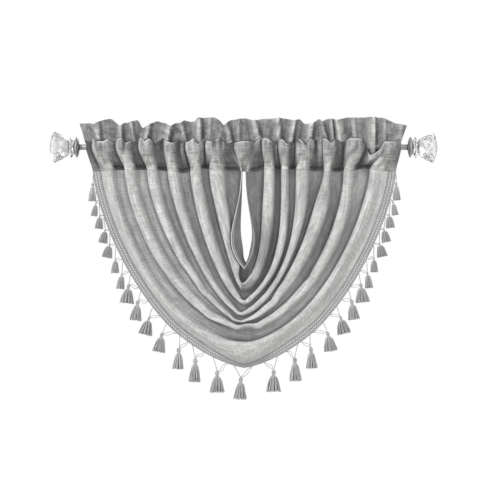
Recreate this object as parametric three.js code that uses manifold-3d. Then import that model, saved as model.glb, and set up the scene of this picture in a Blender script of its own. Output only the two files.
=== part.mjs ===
// A waterfall valance on its rod: a gathered heading, one panel in cowl folds, and a braid and tassels.
// Millimetres, +Z up. The origin is on the rod's axis, midway between its ends, and the front faces -Y.

import * as THREE from "three";
import { mergeVertices } from "three/addons/utils/BufferGeometryUtils.js";
import Module from "manifold-3d";

const wasm = await Module();
wasm.setup();
const { clamp, lerp, smoothstep } = THREE.MathUtils;

// The gap between two pieces that touch
const GAP = 0.3;

// Rod
const ROD_RADIUS = 9.5;
const ROD_HALF_LENGTH = 558.7;
const ROD_SIDES = 20;

// Finials: a metal collar, a clear bead and a clear cut knob on each end of the rod
const COLLAR_SIDES = 24;
const COLLAR_PROFILE = rows(["along", "radius"], [
  [0, 18],
  [5, 33],
  [7.5, 35.5],
  [10, 33],
  [16, 22],
]);
const BEAD_SIDES = 16;
const BEAD_PROFILE = rows(["along", "radius"], [
  [0, 22],
  [9, 35],
  [11, 36.5],
  [13, 35],
  [18, 20],
]);
const KNOB_SIDES = 8;
const KNOB_WIDEST_RING = 3;
const KNOB_RINGS = rows(["along", "radius"], [
  [0, 24],
  [5, 31],
  [26, 44],
  [49, 54],
  [57, 39],
  [64, 12],
]);

// Panel: a sheet that hangs from the seam under the heading
const CLOTH_THICKNESS = 1.6;
const SEAM_Z = -82;
const SEAM_DEPTH = 15;
const BOW_POWER = 2;
const LEAN_SIDE = 8;
const LEAN_LOW = 5;
const STATIONS_ALONG_FOLD = 30;
const COLUMNS_PER_FOLD = 6;

// The panel's lines from the neckline out to the hem. Each is a U hung from the seam at leftX and rightX.
// Its lowest point is at lowX, lowY behind the rod's axis and lowZ. Wide and deep powers round its sides.
const FOLD_LINES = rows(
  ["leftX", "rightX", "lowX", "lowZ", "lowY", "leftWide", "leftDeep", "rightWide", "rightDeep"],
  [
    [-4, 7, 9, -391, 26, 2.0, 4.0, 2.0, 4.0],
    [-6, 10, 2, -411, 12, 2.0, 3.0, 2.0, 3.0],
    [-98, 87, -7, -472, 12, 1.5, 1.05, 2.3, 1.95],
    [-165, 138, 5, -526, 6, 1.55, 1.4, 1.05, 4.1],
    [-243, 195, -5, -564, 0, 1.5, 1.35, 1.45, 2.35],
    [-313, 283, -5, -592, -8, 1.45, 1.45, 1.6, 1.4],
    [-389, 352, 8, -611, -16, 1.75, 1.5, 1.55, 1.9],
    [-459, 447, 3, -668, -24, 2.1, 1.38, 1.92, 1.3],
    [-512, 518, 3, -747, -20, 1.8, 1.42, 1.8, 1.42],
  ],
);
// How far each line's crest stands forward halfway down and at its lowest point, and how its sides bow out
const FOLD_SHAPES = rows(["sideDepth", "lowDepth", "leftBow", "rightBow"], [
  [8, 8, 7, 22],
  [10, 10, 37, 27],
  [20, 15, 0, 0],
  [24, 14, 0, 0],
  [22, 12, 0, 0],
  [26, 11, 0, 0],
  [23, 13, 0, 0],
  [25, 19, 0, 0],
  [14, 12, 0, 0],
]);
// Past the last crest the cloth falls to the braid's inner edge and lies level from there to the hem.
const FIRST_CREST = 1;
const LAST_CREST = 7;
const BRAID_EDGE = 8;
const HEM = 9;
const HEM_ROW = 8;
const HEM_FALL = 0.9;
// The hem rises a little beside its lowest point, out to this share of its half length.
const TIP_REACH = 0.35;
const TIP_RISE = 7;

// Heading: a doubled strip, pocket below its stitch line and ruffle above, gathered on the rod
const HEADING_THICKNESS = 2;
const ROD_CLEARANCE = 2;
const POCKET_LOW_Z = -45;
const POCKET_ROD_Z = -8;
const POCKET_HIGH_Z = 9;
const STITCH_Z = 20;
const TUNNEL_LOW_Z = -66;
const TUNNEL_HIGH_Z = 15;
const BACK_DEPTH = 9;
const STATIONS_PER_GATHER = 3;

// The heading's gathers from left to right. Line is the panel line at the seam, negative on the left half.
// RodX and topX place the gather at the rod and at the ruffle's edge, which is topZ high there.
const GATHERS = rows(["line", "rodX", "topX", "rodDepth", "topDepth", "topZ"], [
  [-9, -534, -558, 4, 2, 83],
  [-7, -478, -501, 16, 14, 86],
  [-6, -406, -420, 20, 16, 90],
  [-5.5, -365, -379, 4, 10, 84],
  [-5, -328, -338, 20, 13, 68],
  [-4, -253, -270, 18, 15, 88],
  [-3.5, -212, -221, 6, 11, 79],
  [-3, -161, -161, 22, 15, 88],
  [-2.5, -131, -121, 5, 9, 100],
  [-2, -100, -76, 20, 14, 80],
  [-0.5, -9, -25, 14, 13, 95],
  [1.2, 43, 39, 6, 12, 88],
  [2, 83, 110, 18, 15, 94],
  [3, 141, 158, 18, 12, 90],
  [4, 209, 216, 22, 15, 78],
  [5, 291, 277, 20, 14, 88],
  [5.5, 331, 321, 6, 11, 90],
  [6, 383, 369, 18, 10, 99],
  [6.5, 430, 427, 5, 9, 100],
  [7, 478, 481, 18, 12, 94],
  [9, 534, 555, 4, 2, 73],
]);

// Braid: a flat band sewn on the front of the panel along its hem
const BRAID_WIDTH = 28;
const BRAID_THICKNESS = 2.4;
const BRAID_RIM = 0.8;

// Tassels up each side of the hem, from the top down, and one at the hem's lowest point.
// Each hangs on an outer cord sewn on at rootZ and an inner cord that rises from the knot to the hem.
// The knot lies out from that cord's root and drop below it. Lean is how far a tassel's foot swings outwards.
const SIDE_TASSELS = rows(["rootZ", "drop", "out", "rise", "length", "width", "lean"], [
  [-96, 26, 0, -3, 62, 26, 4],
  [-151, 38, 0, 9, 46, 25, 7],
  [-188, 42, -4, -3, 48, 33, 5],
  [-239, 40, -6, -3, 48, 35, 10],
  [-292, 36, 0, -3, 49, 39, 10],
  [-338, 40, 1, -3, 50, 30, 1],
  [-387, 41, 3, 4, 54, 31, 6],
  [-433, 32, 5, -12, 66, 52, 8],
  [-489, 31, 9, -2, 69, 43, 9],
  [-544, 32, 11, 4, 62, 51, 14],
  [-599, 30, 14, -4, 67, 49, 12],
  [-644, 39, 3, 14, 73, 41, 4],
  [-678, 43, -10, 13, 81, 45, 3],
  [-720, 44, -13, 20, 75, 53, 0],
]);
const RIGHT_TASSEL_RISE = 3;
const LOW_TASSEL = { leftRootX: -33, rightRootX: 31, knotX: -9, drop: 33, length: 76, width: 47, lean: 4 };
const CORD_RADIUS = 1.3;
const CORD_OFFSET = 2;
const CORD_SIDES = 3;
const HEAD_LENGTH = 76;
const HEAD_SIDES = 6;
const SMALL_HEAD = 0.6;
const SMALL_LENGTH = 52;
const LARGE_LENGTH = 72;
const HEAD_PROFILE = rows(["down", "radius"], [
  [0, 2.5],
  [5, 8],
  [12, 8],
  [17, 5.5],
  [21, 7.5],
  [25, 7.5],
]);
const LOCKS_PER_RING = 6;
const LOCK_SIDES = 3;
const LOCK_ROOT_DOWN = 23;
const LOCK_ROOT_RADIUS = 4;
const LOCK_ROOT_HALF_WIDTH = 1.5;
const LOCK_KNEE_DOWN = 0.3;
const LOCK_KNEE_OUT = 0.45;
const LOCK_END_SHARE = 0.38;
const LOCK_END_HALF_SHARE = 0.12;

// Finishes of the materials
const CLOTH = { color: 0xb4b4b3, roughness: 0.92 };
const HEADING_CLOTH = { color: 0x9d9d9c, roughness: 0.92 };
const BRAID_YARN = { color: 0xa9a9a8, roughness: 0.85 };
const TASSEL_YARN = { color: 0x9b9b9a, roughness: 0.8 };
const METAL = { color: 0xa3a3a3, roughness: 0.3, metalness: 0.9 };
const CRYSTAL = { color: 0xe9ecee, roughness: 0.05 };

// Turns a table of plain rows into objects with the named columns.
function rows(columns, values) {
  return values.map((row) => Object.fromEntries(row.map((value, i) => [columns[i], value])));
}

// A column of a table at a place between its rows, on a smooth curve through them.
function between(table, column, place) {
  const first = clamp(Math.floor(place), 0, table.length - 2);
  const [b, c] = [table[first][column], table[first + 1][column]];
  const a = first > 0 ? table[first - 1][column] : 2 * b - c;
  const d = first + 2 < table.length ? table[first + 2][column] : 2 * c - b;
  const t = place - first;
  return b + 0.5 * t * (c - a + t * (2 * a - 5 * b + 4 * c - d + t * (3 * (b - c) + d - a)));
}

// A closed solid from rings of points, one ring for each station. A tunnel has rings of its own.
function loft(rings, tunnel = []) {
  const points = [...rings.flat(), ...tunnel.flat()];
  const tunnelStart = rings.flat().length;
  const triangles = [...wallFaces(rings, 0), ...wallFaces(tunnel, tunnelStart).reverse()];
  for (const end of [0, rings.length - 1]) {
    const places = rings[end].map((_, k) => end * rings[end].length + k);
    const faces = tunnel.length ? tunnelEndFaces(rings[end], tunnel[end]) : endFaces(rings[end].length);
    if (tunnel.length) places.push(...tunnel[end].map((_, k) => tunnelStart + end * tunnel[end].length + k));
    for (const face of faces) {
      const [a, b, c] = face.map((k) => places[k]);
      triangles.push(...(end === 0 ? [a, c, b] : [a, b, c]));
    }
  }
  return facingOut(points, triangles);
}

// The faces between one ring and the next, for rings whose points are listed from start on.
function wallFaces(rings, start) {
  const triangles = [];
  for (let i = 0; i + 1 < rings.length; i++) {
    const count = rings[i].length;
    for (let k = 0; k < count; k++) {
      const a = start + i * count + k;
      const b = start + i * count + ((k + 1) % count);
      triangles.push(a, b, a + count, b, b + count, a + count);
    }
  }
  return triangles;
}

// The faces of an end whose ring is a strip or a convex outline, wound the way that the ring runs.
function endFaces(count) {
  const faces = [];
  let [first, last] = [0, count - 1];
  while (last - first > 1) {
    faces.push([first, first + 1, last]);
    first += 1;
    if (last - first > 1) {
      faces.push([first, last - 1, last]);
      last -= 1;
    }
  }
  return faces;
}

// The faces of an end with a tunnel through it, wound the way that its outline runs.
function tunnelEndFaces(outline, tunnel) {
  const flatten = (point) => new THREE.Vector2(point.y, point.z);
  const contour = outline.map(flatten);
  const all = [...contour, ...tunnel.map(flatten)];
  const clockwise = THREE.ShapeUtils.isClockWise(contour);
  return THREE.ShapeUtils.triangulateShape(contour, [tunnel.map(flatten)]).map(([a, b, c]) => {
    const faceClockwise = THREE.ShapeUtils.area([all[a], all[b], all[c]]) < 0;
    return faceClockwise === clockwise ? [a, b, c] : [a, c, b];
  });
}

// A geometry of these triangles, turned over if they enclose a negative volume.
function facingOut(points, triangles) {
  let volume = 0;
  for (let i = 0; i < triangles.length; i += 3) {
    const [a, b, c] = [0, 1, 2].map((k) => points[triangles[i + k]]);
    volume += a.dot(new THREE.Vector3().crossVectors(b, c));
  }
  const index = volume < 0 ? [...triangles].reverse() : triangles;
  const geometry = new THREE.BufferGeometry().setFromPoints(points);
  geometry.setIndex(index);
  return geometry;
}

// A geometry as a solid that can be joined to others, and a joined solid back as a geometry.
function toSolid(geometry) {
  const bare = geometry.clone();
  bare.deleteAttribute("normal");
  bare.deleteAttribute("uv");
  const merged = mergeVertices(bare, 1e-4);
  const vertProperties = new Float32Array(merged.attributes.position.array);
  const triVerts = new Uint32Array(merged.index.array);
  return new wasm.Manifold(new wasm.Mesh({ numProp: 3, vertProperties, triVerts }));
}

function toGeometry(solid) {
  const mesh = solid.getMesh();
  const geometry = new THREE.BufferGeometry();
  geometry.setAttribute("position", new THREE.BufferAttribute(new Float32Array(mesh.vertProperties), 3));
  geometry.setIndex(new THREE.BufferAttribute(new Uint32Array(mesh.triVerts), 1));
  return geometry;
}

// How far down its U a place lies: 0 at the seam and 1 at the lowest point. Along runs from -1 to 1.
function sunk(along) {
  return Math.sin(((1 - Math.abs(along)) * Math.PI) / 2);
}

// A column of a fold table between its rows: straight on the neckline's facing and smooth past its rim.
function rowValue(table, column, row) {
  if (row < FIRST_CREST) return lerp(table[0][column], table[FIRST_CREST][column], row);
  return between(table, column, row);
}

// A row of the fold table, or a place between two rows, as a line seen from the front in x and z.
function hungLine(row, along) {
  const side = along < 0 ? "left" : "right";
  const turn = ((1 - Math.abs(along)) * Math.PI) / 2;
  const narrowing = Math.max(Math.cos(turn), 0) ** (2 / rowValue(FOLD_LINES, `${side}Wide`, row));
  const drop = Math.sin(turn) ** (2 / rowValue(FOLD_LINES, `${side}Deep`, row));
  const lowX = rowValue(FOLD_LINES, "lowX", row);
  const bow = rowValue(FOLD_SHAPES, `${side}Bow`, row) * Math.sin(Math.PI * drop ** BOW_POWER);
  const x = lerp(lowX, rowValue(FOLD_LINES, `${side}X`, row), narrowing) + (along < 0 ? -bow : bow);
  return new THREE.Vector2(x, lerp(SEAM_Z, rowValue(FOLD_LINES, "lowZ", row), drop));
}

// A panel line from the neckline to the hem, seen from the front.
function foldLine(line, along) {
  if (line <= LAST_CREST) return hungLine(line, along);
  const hem = hungLine(HEM_ROW, along);
  const besideTip = clamp(Math.abs(along) / TIP_REACH, 0, 1);
  hem.y += TIP_RISE * 4 * besideTip * (1 - besideTip);
  const braidEdge = hem.clone().addScaledVector(acrossLine(HEM_ROW, along, hungLine), -BRAID_WIDTH);
  braidEdge.y = Math.min(braidEdge.y, SEAM_Z);
  if (line <= BRAID_EDGE) return hungLine(LAST_CREST, along).lerp(braidEdge, line - LAST_CREST);
  return braidEdge.lerp(hem, line - BRAID_EDGE);
}

// The direction across a line, away from the neckline.
function acrossLine(line, along, shape) {
  const step = 0.01;
  const ahead = shape(line, Math.min(along + step, 1));
  const tangent = ahead.sub(shape(line, Math.max(along - step, -1))).normalize();
  return new THREE.Vector2(tangent.y, -tangent.x);
}

// The fold's rise and fall across the lines: 1 on a crest and -1 in a trough, level under the braid.
function wave(line) {
  if (line < FIRST_CREST) return -Math.cos(Math.PI * line);
  if (line <= LAST_CREST) return Math.cos(2 * Math.PI * line);
  return 1 - HEM_FALL * smoothstep(line, LAST_CREST, BRAID_EDGE);
}

// How far crests stand forward at a place on the panel.
function foldDepth(line, along) {
  const down = sunk(along);
  const row = Math.min(line, HEM_ROW);
  const side = between(FOLD_SHAPES, "sideDepth", row);
  const seam = Math.min(SEAM_DEPTH, side);
  if (down < 0.5) return lerp(seam, side, smoothstep(down, 0, 0.5));
  return lerp(side, between(FOLD_SHAPES, "lowDepth", row), smoothstep(down, 0.5, 1));
}

// How far crests lean outward: to the left on both sides, and up at the lowest point.
function foldLean(line, along) {
  const sideLean = along < 0 ? LEAN_SIDE : -LEAN_SIDE;
  const lean = lerp(-LEAN_LOW, sideLean, smoothstep(Math.abs(along), 0, 0.5));
  const fromSeam = smoothstep(sunk(along), 0, 0.2);
  const fromEdges = smoothstep(line, 0, FIRST_CREST) * (1 - smoothstep(line, LAST_CREST, BRAID_EDGE));
  return lean * fromSeam * fromEdges;
}

// A point on the middle of the panel's cloth.
function clothPoint(line, along) {
  const shift = foldLean(line, along) * wave(line);
  const flat = foldLine(line, along).addScaledVector(acrossLine(line, along, foldLine), shift);
  const belly = between(FOLD_LINES, "lowY", Math.min(line, HEM_ROW)) * sunk(along) ** 2;
  return new THREE.Vector3(flat.x, belly - foldDepth(line, along) * wave(line), flat.y);
}

// The panel's direction towards the viewer, level at the seam so that the edge there stays flat.
function clothNormal(line, along) {
  const step = 0.02;
  const across = clothPoint(Math.min(line + step, HEM), along);
  across.sub(clothPoint(Math.max(line - step, 0), along));
  const onward = clothPoint(line, Math.min(along + step, 1));
  onward.sub(clothPoint(line, Math.max(along - step, -1)));
  const normal = across.cross(onward);
  if (Math.abs(along) === 1) normal.z = 0;
  return normal.normalize();
}

// A point in front of the middle of the cloth, or behind it where the distance is negative.
function offCloth(line, along, distance) {
  return clothPoint(line, along).addScaledVector(clothNormal(line, along), distance);
}

// The stations along every panel line, from the left end of the seam to the right.
function alongStations() {
  return Array.from({ length: STATIONS_ALONG_FOLD + 1 }, (_, i) => (2 * i) / STATIONS_ALONG_FOLD - 1);
}

// The panel lines that the sheet's faces follow: close together on the folds and few under the braid.
function lineStations() {
  const lines = [0, 0.4, 0.7];
  for (let i = 0; i <= (LAST_CREST - FIRST_CREST) * COLUMNS_PER_FOLD; i++) {
    lines.push(FIRST_CREST + i / COLUMNS_PER_FOLD);
  }
  lines.push(7.25, 7.5, 7.75, BRAID_EDGE, HEM);
  return lines;
}

function panelGeometry() {
  const lines = lineStations();
  const half = CLOTH_THICKNESS / 2;
  const rings = alongStations().map((along) => [
    ...lines.map((line) => offCloth(line, along, half)),
    ...[...lines].reverse().map((line) => offCloth(line, along, -half)),
  ]);
  return loft(rings);
}

function braidGeometry() {
  const base = CLOTH_THICKNESS / 2 + GAP + 0.1;
  const rings = alongStations().map((along) => {
    const at = (share, height) => offCloth(lerp(HEM, BRAID_EDGE + 0.02, share), along, base + height);
    return [
      at(0, 0),
      at(0, BRAID_THICKNESS),
      at(0.2, BRAID_THICKNESS),
      at(0.25, BRAID_THICKNESS - BRAID_RIM),
      at(0.75, BRAID_THICKNESS - BRAID_RIM),
      at(0.8, BRAID_THICKNESS),
      at(1, BRAID_THICKNESS),
      at(1, 0),
    ];
  });
  return loft(rings);
}

// One section of the heading: its outline from the seam up the front and down the back, and its tunnel.
function headingSection(place) {
  const value = (column) => between(GATHERS, column, place);
  const line = value("line");
  const seam = clothPoint(clamp(Math.abs(line), 0, HEM), line < 0 ? -1 : 1);
  const swing = Math.cos(2 * Math.PI * place);
  const crest = (1 + swing) / 2;
  const half = HEADING_THICKNESS / 2;
  const frontRod = -(ROD_RADIUS + ROD_CLEARANCE + half) - Math.max(value("rodDepth"), 0) * crest;
  const backRod = ROD_RADIUS + ROD_CLEARANCE + half + BACK_DEPTH * (1 - crest);
  const ruffle = -value("topDepth") * swing;
  const stitch = 0.35 * ruffle;
  const [rodX, topX, topZ] = [value("rodX"), value("topX"), value("topZ")];
  const lowX = lerp(seam.x, rodX, 0.5);
  const front = [
    new THREE.Vector3(seam.x, seam.y - half, SEAM_Z + GAP),
    new THREE.Vector3(lowX, lerp(seam.y, frontRod, 0.6) - half, POCKET_LOW_Z),
    new THREE.Vector3(rodX, frontRod - half, POCKET_ROD_Z),
    new THREE.Vector3(rodX, lerp(frontRod, stitch, 0.1) - half, POCKET_HIGH_Z),
    new THREE.Vector3(lerp(rodX, topX, 0.25), stitch - half, STITCH_Z),
    new THREE.Vector3(lerp(rodX, topX, 0.6), 0.8 * ruffle - half, lerp(STITCH_Z, topZ, 0.5)),
    new THREE.Vector3(topX, ruffle - half, topZ),
  ];
  const back = [
    new THREE.Vector3(seam.x, seam.y + half, SEAM_Z + GAP),
    new THREE.Vector3(lowX, lerp(seam.y, backRod, 0.6) + half, POCKET_LOW_Z),
    new THREE.Vector3(rodX, backRod + half, POCKET_ROD_Z),
    new THREE.Vector3(rodX, lerp(backRod, stitch, 0.1) + half, POCKET_HIGH_Z),
    ...front.slice(4).map((point) => new THREE.Vector3(point.x, point.y + HEADING_THICKNESS, point.z)),
  ];
  const inside = (point, towards) => point.clone().add(new THREE.Vector3(0, towards * HEADING_THICKNESS, 0));
  const tunnelLow = new THREE.Vector3(lerp(seam.x, lowX, 0.5), lerp(seam.y, 0, 0.3), TUNNEL_LOW_Z);
  const tunnelHigh = new THREE.Vector3(rodX, stitch, TUNNEL_HIGH_Z);
  const frontInside = front.slice(1, 4).map((point) => inside(point, 1));
  const backInside = back.slice(1, 4).map((point) => inside(point, -1));
  return {
    outline: [...front, ...back.reverse()],
    tunnel: [tunnelLow, ...frontInside, tunnelHigh, ...backInside.reverse()],
  };
}

function headingGeometry() {
  const count = (GATHERS.length - 1) * STATIONS_PER_GATHER;
  const sections = Array.from({ length: count + 1 }, (_, i) => headingSection(i / STATIONS_PER_GATHER));
  return loft(
    sections.map((section) => section.outline),
    sections.map((section) => section.tunnel),
  );
}

// A ring of points round the Z axis, turned by a share of one side.
function ring(sides, radius, z, turn = 0) {
  return Array.from({ length: sides }, (_, k) => {
    const angle = (2 * Math.PI * (k + turn)) / sides;
    return new THREE.Vector3(radius * Math.cos(angle), radius * Math.sin(angle), z);
  });
}

// A solid turned about Z from a table of places along Z and radii.
function turned(profile, sides) {
  return loft(profile.map(({ along, radius }) => ring(sides, radius, along)));
}

// A cut knob: each ring of corners is turned half a side from the last, so its facets are triangles.
// Its widest ring has a corner at the top.
function knobGeometry() {
  const turn = (i) => (i - KNOB_WIDEST_RING) / 2;
  return loft(KNOB_RINGS.map(({ along, radius }, i) => ring(KNOB_SIDES, radius, along, turn(i))));
}

// A straight cord between two points.
function cord(start, end) {
  const direction = end.clone().sub(start);
  const heading = direction.clone().normalize();
  const turn = new THREE.Quaternion().setFromUnitVectors(new THREE.Vector3(0, 0, 1), heading);
  const ends = [ring(CORD_SIDES, CORD_RADIUS, 0), ring(CORD_SIDES, CORD_RADIUS, direction.length())];
  return loft(ends.map((points) => points.map((point) => point.applyQuaternion(turn).add(start))));
}

// The hem's along value at a height, on the left where side is -1 and on the right where it is 1.
function hemAtHeight(side, z) {
  const hem = FOLD_LINES[HEM_ROW];
  const drop = clamp((SEAM_Z - z) / (SEAM_Z - hem.lowZ), 0, 1);
  const turn = Math.asin(drop ** ((side < 0 ? hem.leftDeep : hem.rightDeep) / 2));
  return side * (1 - turn / (Math.PI / 2));
}

// The hem's along value at a place near its lowest point.
function hemAtX(x) {
  const hem = FOLD_LINES[HEM_ROW];
  const [end, wide] = x < hem.lowX ? [hem.leftX, hem.leftWide] : [hem.rightX, hem.rightWide];
  const turn = Math.acos(((x - hem.lowX) / (end - hem.lowX)) ** (wide / 2));
  return Math.sign(x - hem.lowX) * (1 - turn / (Math.PI / 2));
}

// A point just outside the hem, where a cord is sewn on.
function cordRoot(along) {
  const away = acrossLine(HEM, along, foldLine).multiplyScalar(CORD_OFFSET);
  return clothPoint(HEM, along).add(new THREE.Vector3(away.x, 0, away.y));
}

function down(distance) {
  return new THREE.Vector3(0, 0, -distance);
}

// A lock of yarn that comes out from its root, bends at a knee and falls to its end.
function lock(root, end, rootWidth, endWidth) {
  const knee = new THREE.Vector3(
    lerp(root.x, end.x, LOCK_KNEE_OUT),
    lerp(root.y, end.y, LOCK_KNEE_OUT),
    lerp(root.z, end.z, LOCK_KNEE_DOWN),
  );
  const levels = [
    [root, rootWidth],
    [knee, lerp(rootWidth, endWidth, LOCK_KNEE_OUT)],
    [end, endWidth],
  ];
  return loft(levels.map(([middle, width]) => ring(LOCK_SIDES, width, 0).map((point) => point.add(middle))));
}

// A tassel: a knotted head that hangs on two cords, with locks fused to its foot. The knot is its top.
// Short tassels have smaller heads for their length.
function tasselGeometry({ knot, roots, length, width, tilt }) {
  const headShare = lerp(SMALL_HEAD, 1, smoothstep(length, SMALL_LENGTH, LARGE_LENGTH));
  const size = (length / HEAD_LENGTH) * headShare;
  const place = new THREE.Matrix4().makeRotationY(tilt).setPosition(knot);
  const head = loft(HEAD_PROFILE.map((level) => ring(HEAD_SIDES, level.radius * size, -level.down * size)));
  const rootWidth = LOCK_ROOT_HALF_WIDTH * size;
  const endWidth = LOCK_END_HALF_SHARE * width;
  const locks = [lock(down(LOCK_ROOT_DOWN * size), down(length), rootWidth, endWidth)];
  for (let k = 0; k < LOCKS_PER_RING; k++) {
    const [root] = ring(LOCKS_PER_RING, LOCK_ROOT_RADIUS * size, -LOCK_ROOT_DOWN * size, k);
    const [end] = ring(LOCKS_PER_RING, LOCK_END_SHARE * width, -length, k);
    locks.push(lock(root, end, rootWidth, endWidth));
  }
  const body = [head, ...locks].map((geometry) => toSolid(geometry.applyMatrix4(place)));
  const hold = down(3).applyMatrix4(place);
  const cords = roots.map((root) => toSolid(cord(root, hold)));
  return toGeometry([...body, ...cords].reduce((all, piece) => all.add(piece)));
}

// A side's tassels from the top down: their knots, cord roots, sizes and tilts.
function sideTassels(side) {
  return SIDE_TASSELS.map(({ rootZ, drop, out, rise, length, width, lean }) => {
    const outerRoot = cordRoot(hemAtHeight(side, rootZ + (side > 0 ? RIGHT_TASSEL_RISE : 0)));
    const knot = outerRoot.clone().add(new THREE.Vector3(side * out, 0, -drop));
    const innerRoot = cordRoot(hemAtHeight(side, knot.z + rise));
    return { knot, roots: [outerRoot, innerRoot], length, width, tilt: -side * Math.atan2(lean, length) };
  });
}

// The tassel at the hem's lowest point.
function lowTassel() {
  const { leftRootX, rightRootX, knotX, drop, length, width, lean } = LOW_TASSEL;
  const lowest = clothPoint(HEM, 0);
  const knot = new THREE.Vector3(knotX, lowest.y, lowest.z - drop);
  const roots = [cordRoot(hemAtX(leftRootX)), cordRoot(hemAtX(rightRootX))];
  return { knot, roots, length, width, tilt: Math.atan2(lean, length) };
}

const valance = new THREE.Group();

function addPiece(name, geometry, finish, parent = valance) {
  geometry.computeVertexNormals();
  const mesh = new THREE.Mesh(geometry, new THREE.MeshStandardMaterial(finish));
  mesh.name = name;
  parent.add(mesh);
  return mesh;
}

function addRod() {
  const rod = new THREE.CylinderGeometry(ROD_RADIUS, ROD_RADIUS, 2 * ROD_HALF_LENGTH, ROD_SIDES);
  addPiece("rod", rod, METAL).rotation.z = Math.PI / 2;
}

// A finial stands on the rod's end, its pieces stacked outwards along the rod's axis.
function addFinial(side, word) {
  const finial = new THREE.Group();
  finial.position.x = side * (ROD_HALF_LENGTH + GAP);
  finial.rotation.y = (side * Math.PI) / 2;
  valance.add(finial);
  const lastOf = (profile) => profile[profile.length - 1].along;
  addPiece(`collar_${word}`, turned(COLLAR_PROFILE, COLLAR_SIDES), METAL, finial);
  const bead = addPiece(`bead_${word}`, turned(BEAD_PROFILE, BEAD_SIDES), CRYSTAL, finial);
  bead.position.z = lastOf(COLLAR_PROFILE) + GAP;
  const knob = addPiece(`knob_${word}`, knobGeometry(), CRYSTAL, finial);
  knob.position.z = bead.position.z + lastOf(BEAD_PROFILE) + GAP;
}

addRod();
addFinial(-1, "left");
addFinial(1, "right");
addPiece("heading", headingGeometry(), HEADING_CLOTH);
addPiece("panel", panelGeometry(), CLOTH);
addPiece("braid", braidGeometry(), BRAID_YARN);
[...sideTassels(-1), lowTassel(), ...sideTassels(1).reverse()].forEach((tassel, i) => {
  addPiece(`tassel_${String(i + 1).padStart(2, "0")}`, tasselGeometry(tassel), TASSEL_YARN);
});

export default valance;
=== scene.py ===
import math

import bpy
import numpy as np
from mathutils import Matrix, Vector


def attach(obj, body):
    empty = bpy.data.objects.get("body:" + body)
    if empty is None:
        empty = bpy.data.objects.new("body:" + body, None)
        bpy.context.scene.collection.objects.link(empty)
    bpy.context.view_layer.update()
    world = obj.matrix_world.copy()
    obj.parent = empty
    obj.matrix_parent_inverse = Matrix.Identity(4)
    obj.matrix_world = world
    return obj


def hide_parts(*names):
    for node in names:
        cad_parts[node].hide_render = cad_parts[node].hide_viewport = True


# A waterfall valance on its rod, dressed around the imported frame.
# Shapes are worked out in millimetres in the frame's axes: X along the rod, -Y to the viewer, +Z up.
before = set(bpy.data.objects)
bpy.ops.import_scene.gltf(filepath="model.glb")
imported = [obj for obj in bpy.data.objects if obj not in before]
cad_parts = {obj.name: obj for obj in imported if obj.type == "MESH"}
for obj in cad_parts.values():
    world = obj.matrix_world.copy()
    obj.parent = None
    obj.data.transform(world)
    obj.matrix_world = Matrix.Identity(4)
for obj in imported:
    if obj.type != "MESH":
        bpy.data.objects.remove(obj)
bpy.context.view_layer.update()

MM = 0.001
TURN = 2 * math.pi
RANDOM_SEED = 7


def table(columns, rows):
    """A table of plain rows as one array for each named column."""
    return dict(zip(columns, np.array(rows, float).T))


# Camera and stage in metres: straight at the front, with the photograph's frame 1.7 m wide at the rod
CAMERA_PLACE = (0.022, -5.0, -0.3495)
FRAME_WIDTH = 1.7
SENSOR = 36.0
FLOOR_CORNERS = [(-3.0, -3.0, -1.6), (3.0, -3.0, -1.6), (3.0, 2.2, -1.6), (-3.0, 2.2, -1.6)]
LIGHTS = [
    dict(name="key", place=(-3.4, -3.8, 2.6), target=(0, 0, -0.35), size=1.6, power=120.0),
    dict(name="side", place=(4.2, -2.9, 1.6), target=(0, 0, -0.35), size=1.8, power=40.0),
    dict(name="back", place=(0.5, 3.4, 1.8), target=(0, 0, -0.3), size=2.0, power=50.0),
]
# Room light grows towards its way, and the light behind clear pieces grows towards the back
ROOM_WAY = (-0.5, -0.7, 0.5)
ROOM_RANGE = (-0.4, 0.9)
ROOM_LIGHT = (0.3, 1.5)
THROUGH_RANGE = (-0.5, 0.3)
THROUGH_LIGHT = (0.5, 1.0)

# Panel
LEFT = -1
RIGHT = 1
CLOTH_THICKNESS = 1.2
SEAM_Z = -82.0
SEAM_GAP = 0.3
SEAM_DEPTH = 15.0
HALF_DOWN = 0.5
BOW_POWER = 2.0
ROWS_ALONG = 180
CLOTH_PER_LINE = 115.0
CLOTH_PER_SIDE = 800.0
ALONG_STEP = 0.01
NORMAL_STEP = 0.02
FIRST_CREST = 1
LAST_CREST = 7
BRAID_EDGE = 8
HEM = 9
HEM_ROW = 8
HEM_FALL = 0.9
TUCK_REACH = 0.24
TUCK_NARROWING = 0.5
TUCK_DEPTHS = (-16.0, 8.0)
TIP_REACH = 0.35
TIP_RISE = 7.0
# Lines with points on them: how many from each line to the next
STATIONS = table(["first", "last", "steps"], [[0, 1, 30], [1, 7, 192], [7, 8, 21], [8, 9, 5]])

# The panel's lines from the neckline out to the hem. Each is a U hung from the seam at left_x and right_x.
# Its lowest point is at low_x, low_y behind the rod's axis and low_z. Wide and deep powers round its sides.
LINES = table(
    ["left_x", "right_x", "low_x", "low_z", "low_y", "left_wide", "left_deep", "right_wide", "right_deep"],
    [
        [-4, 7, 9, -391, 26, 2.0, 4.0, 2.0, 4.0],
        [-6, 10, 2, -411, 12, 2.0, 3.0, 2.0, 3.0],
        [-98, 87, -7, -472, 12, 1.5, 1.05, 2.3, 1.95],
        [-165, 138, 5, -526, 6, 1.55, 1.4, 1.05, 4.1],
        [-243, 195, -5, -564, 0, 1.5, 1.35, 1.45, 2.35],
        [-313, 283, -5, -592, -8, 1.45, 1.45, 1.6, 1.4],
        [-389, 352, 8, -611, -16, 1.75, 1.5, 1.55, 1.9],
        [-459, 447, 3, -668, -24, 2.1, 1.38, 1.92, 1.3],
        [-512, 518, 3, -747, -20, 1.8, 1.42, 1.8, 1.42],
    ],
)
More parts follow.
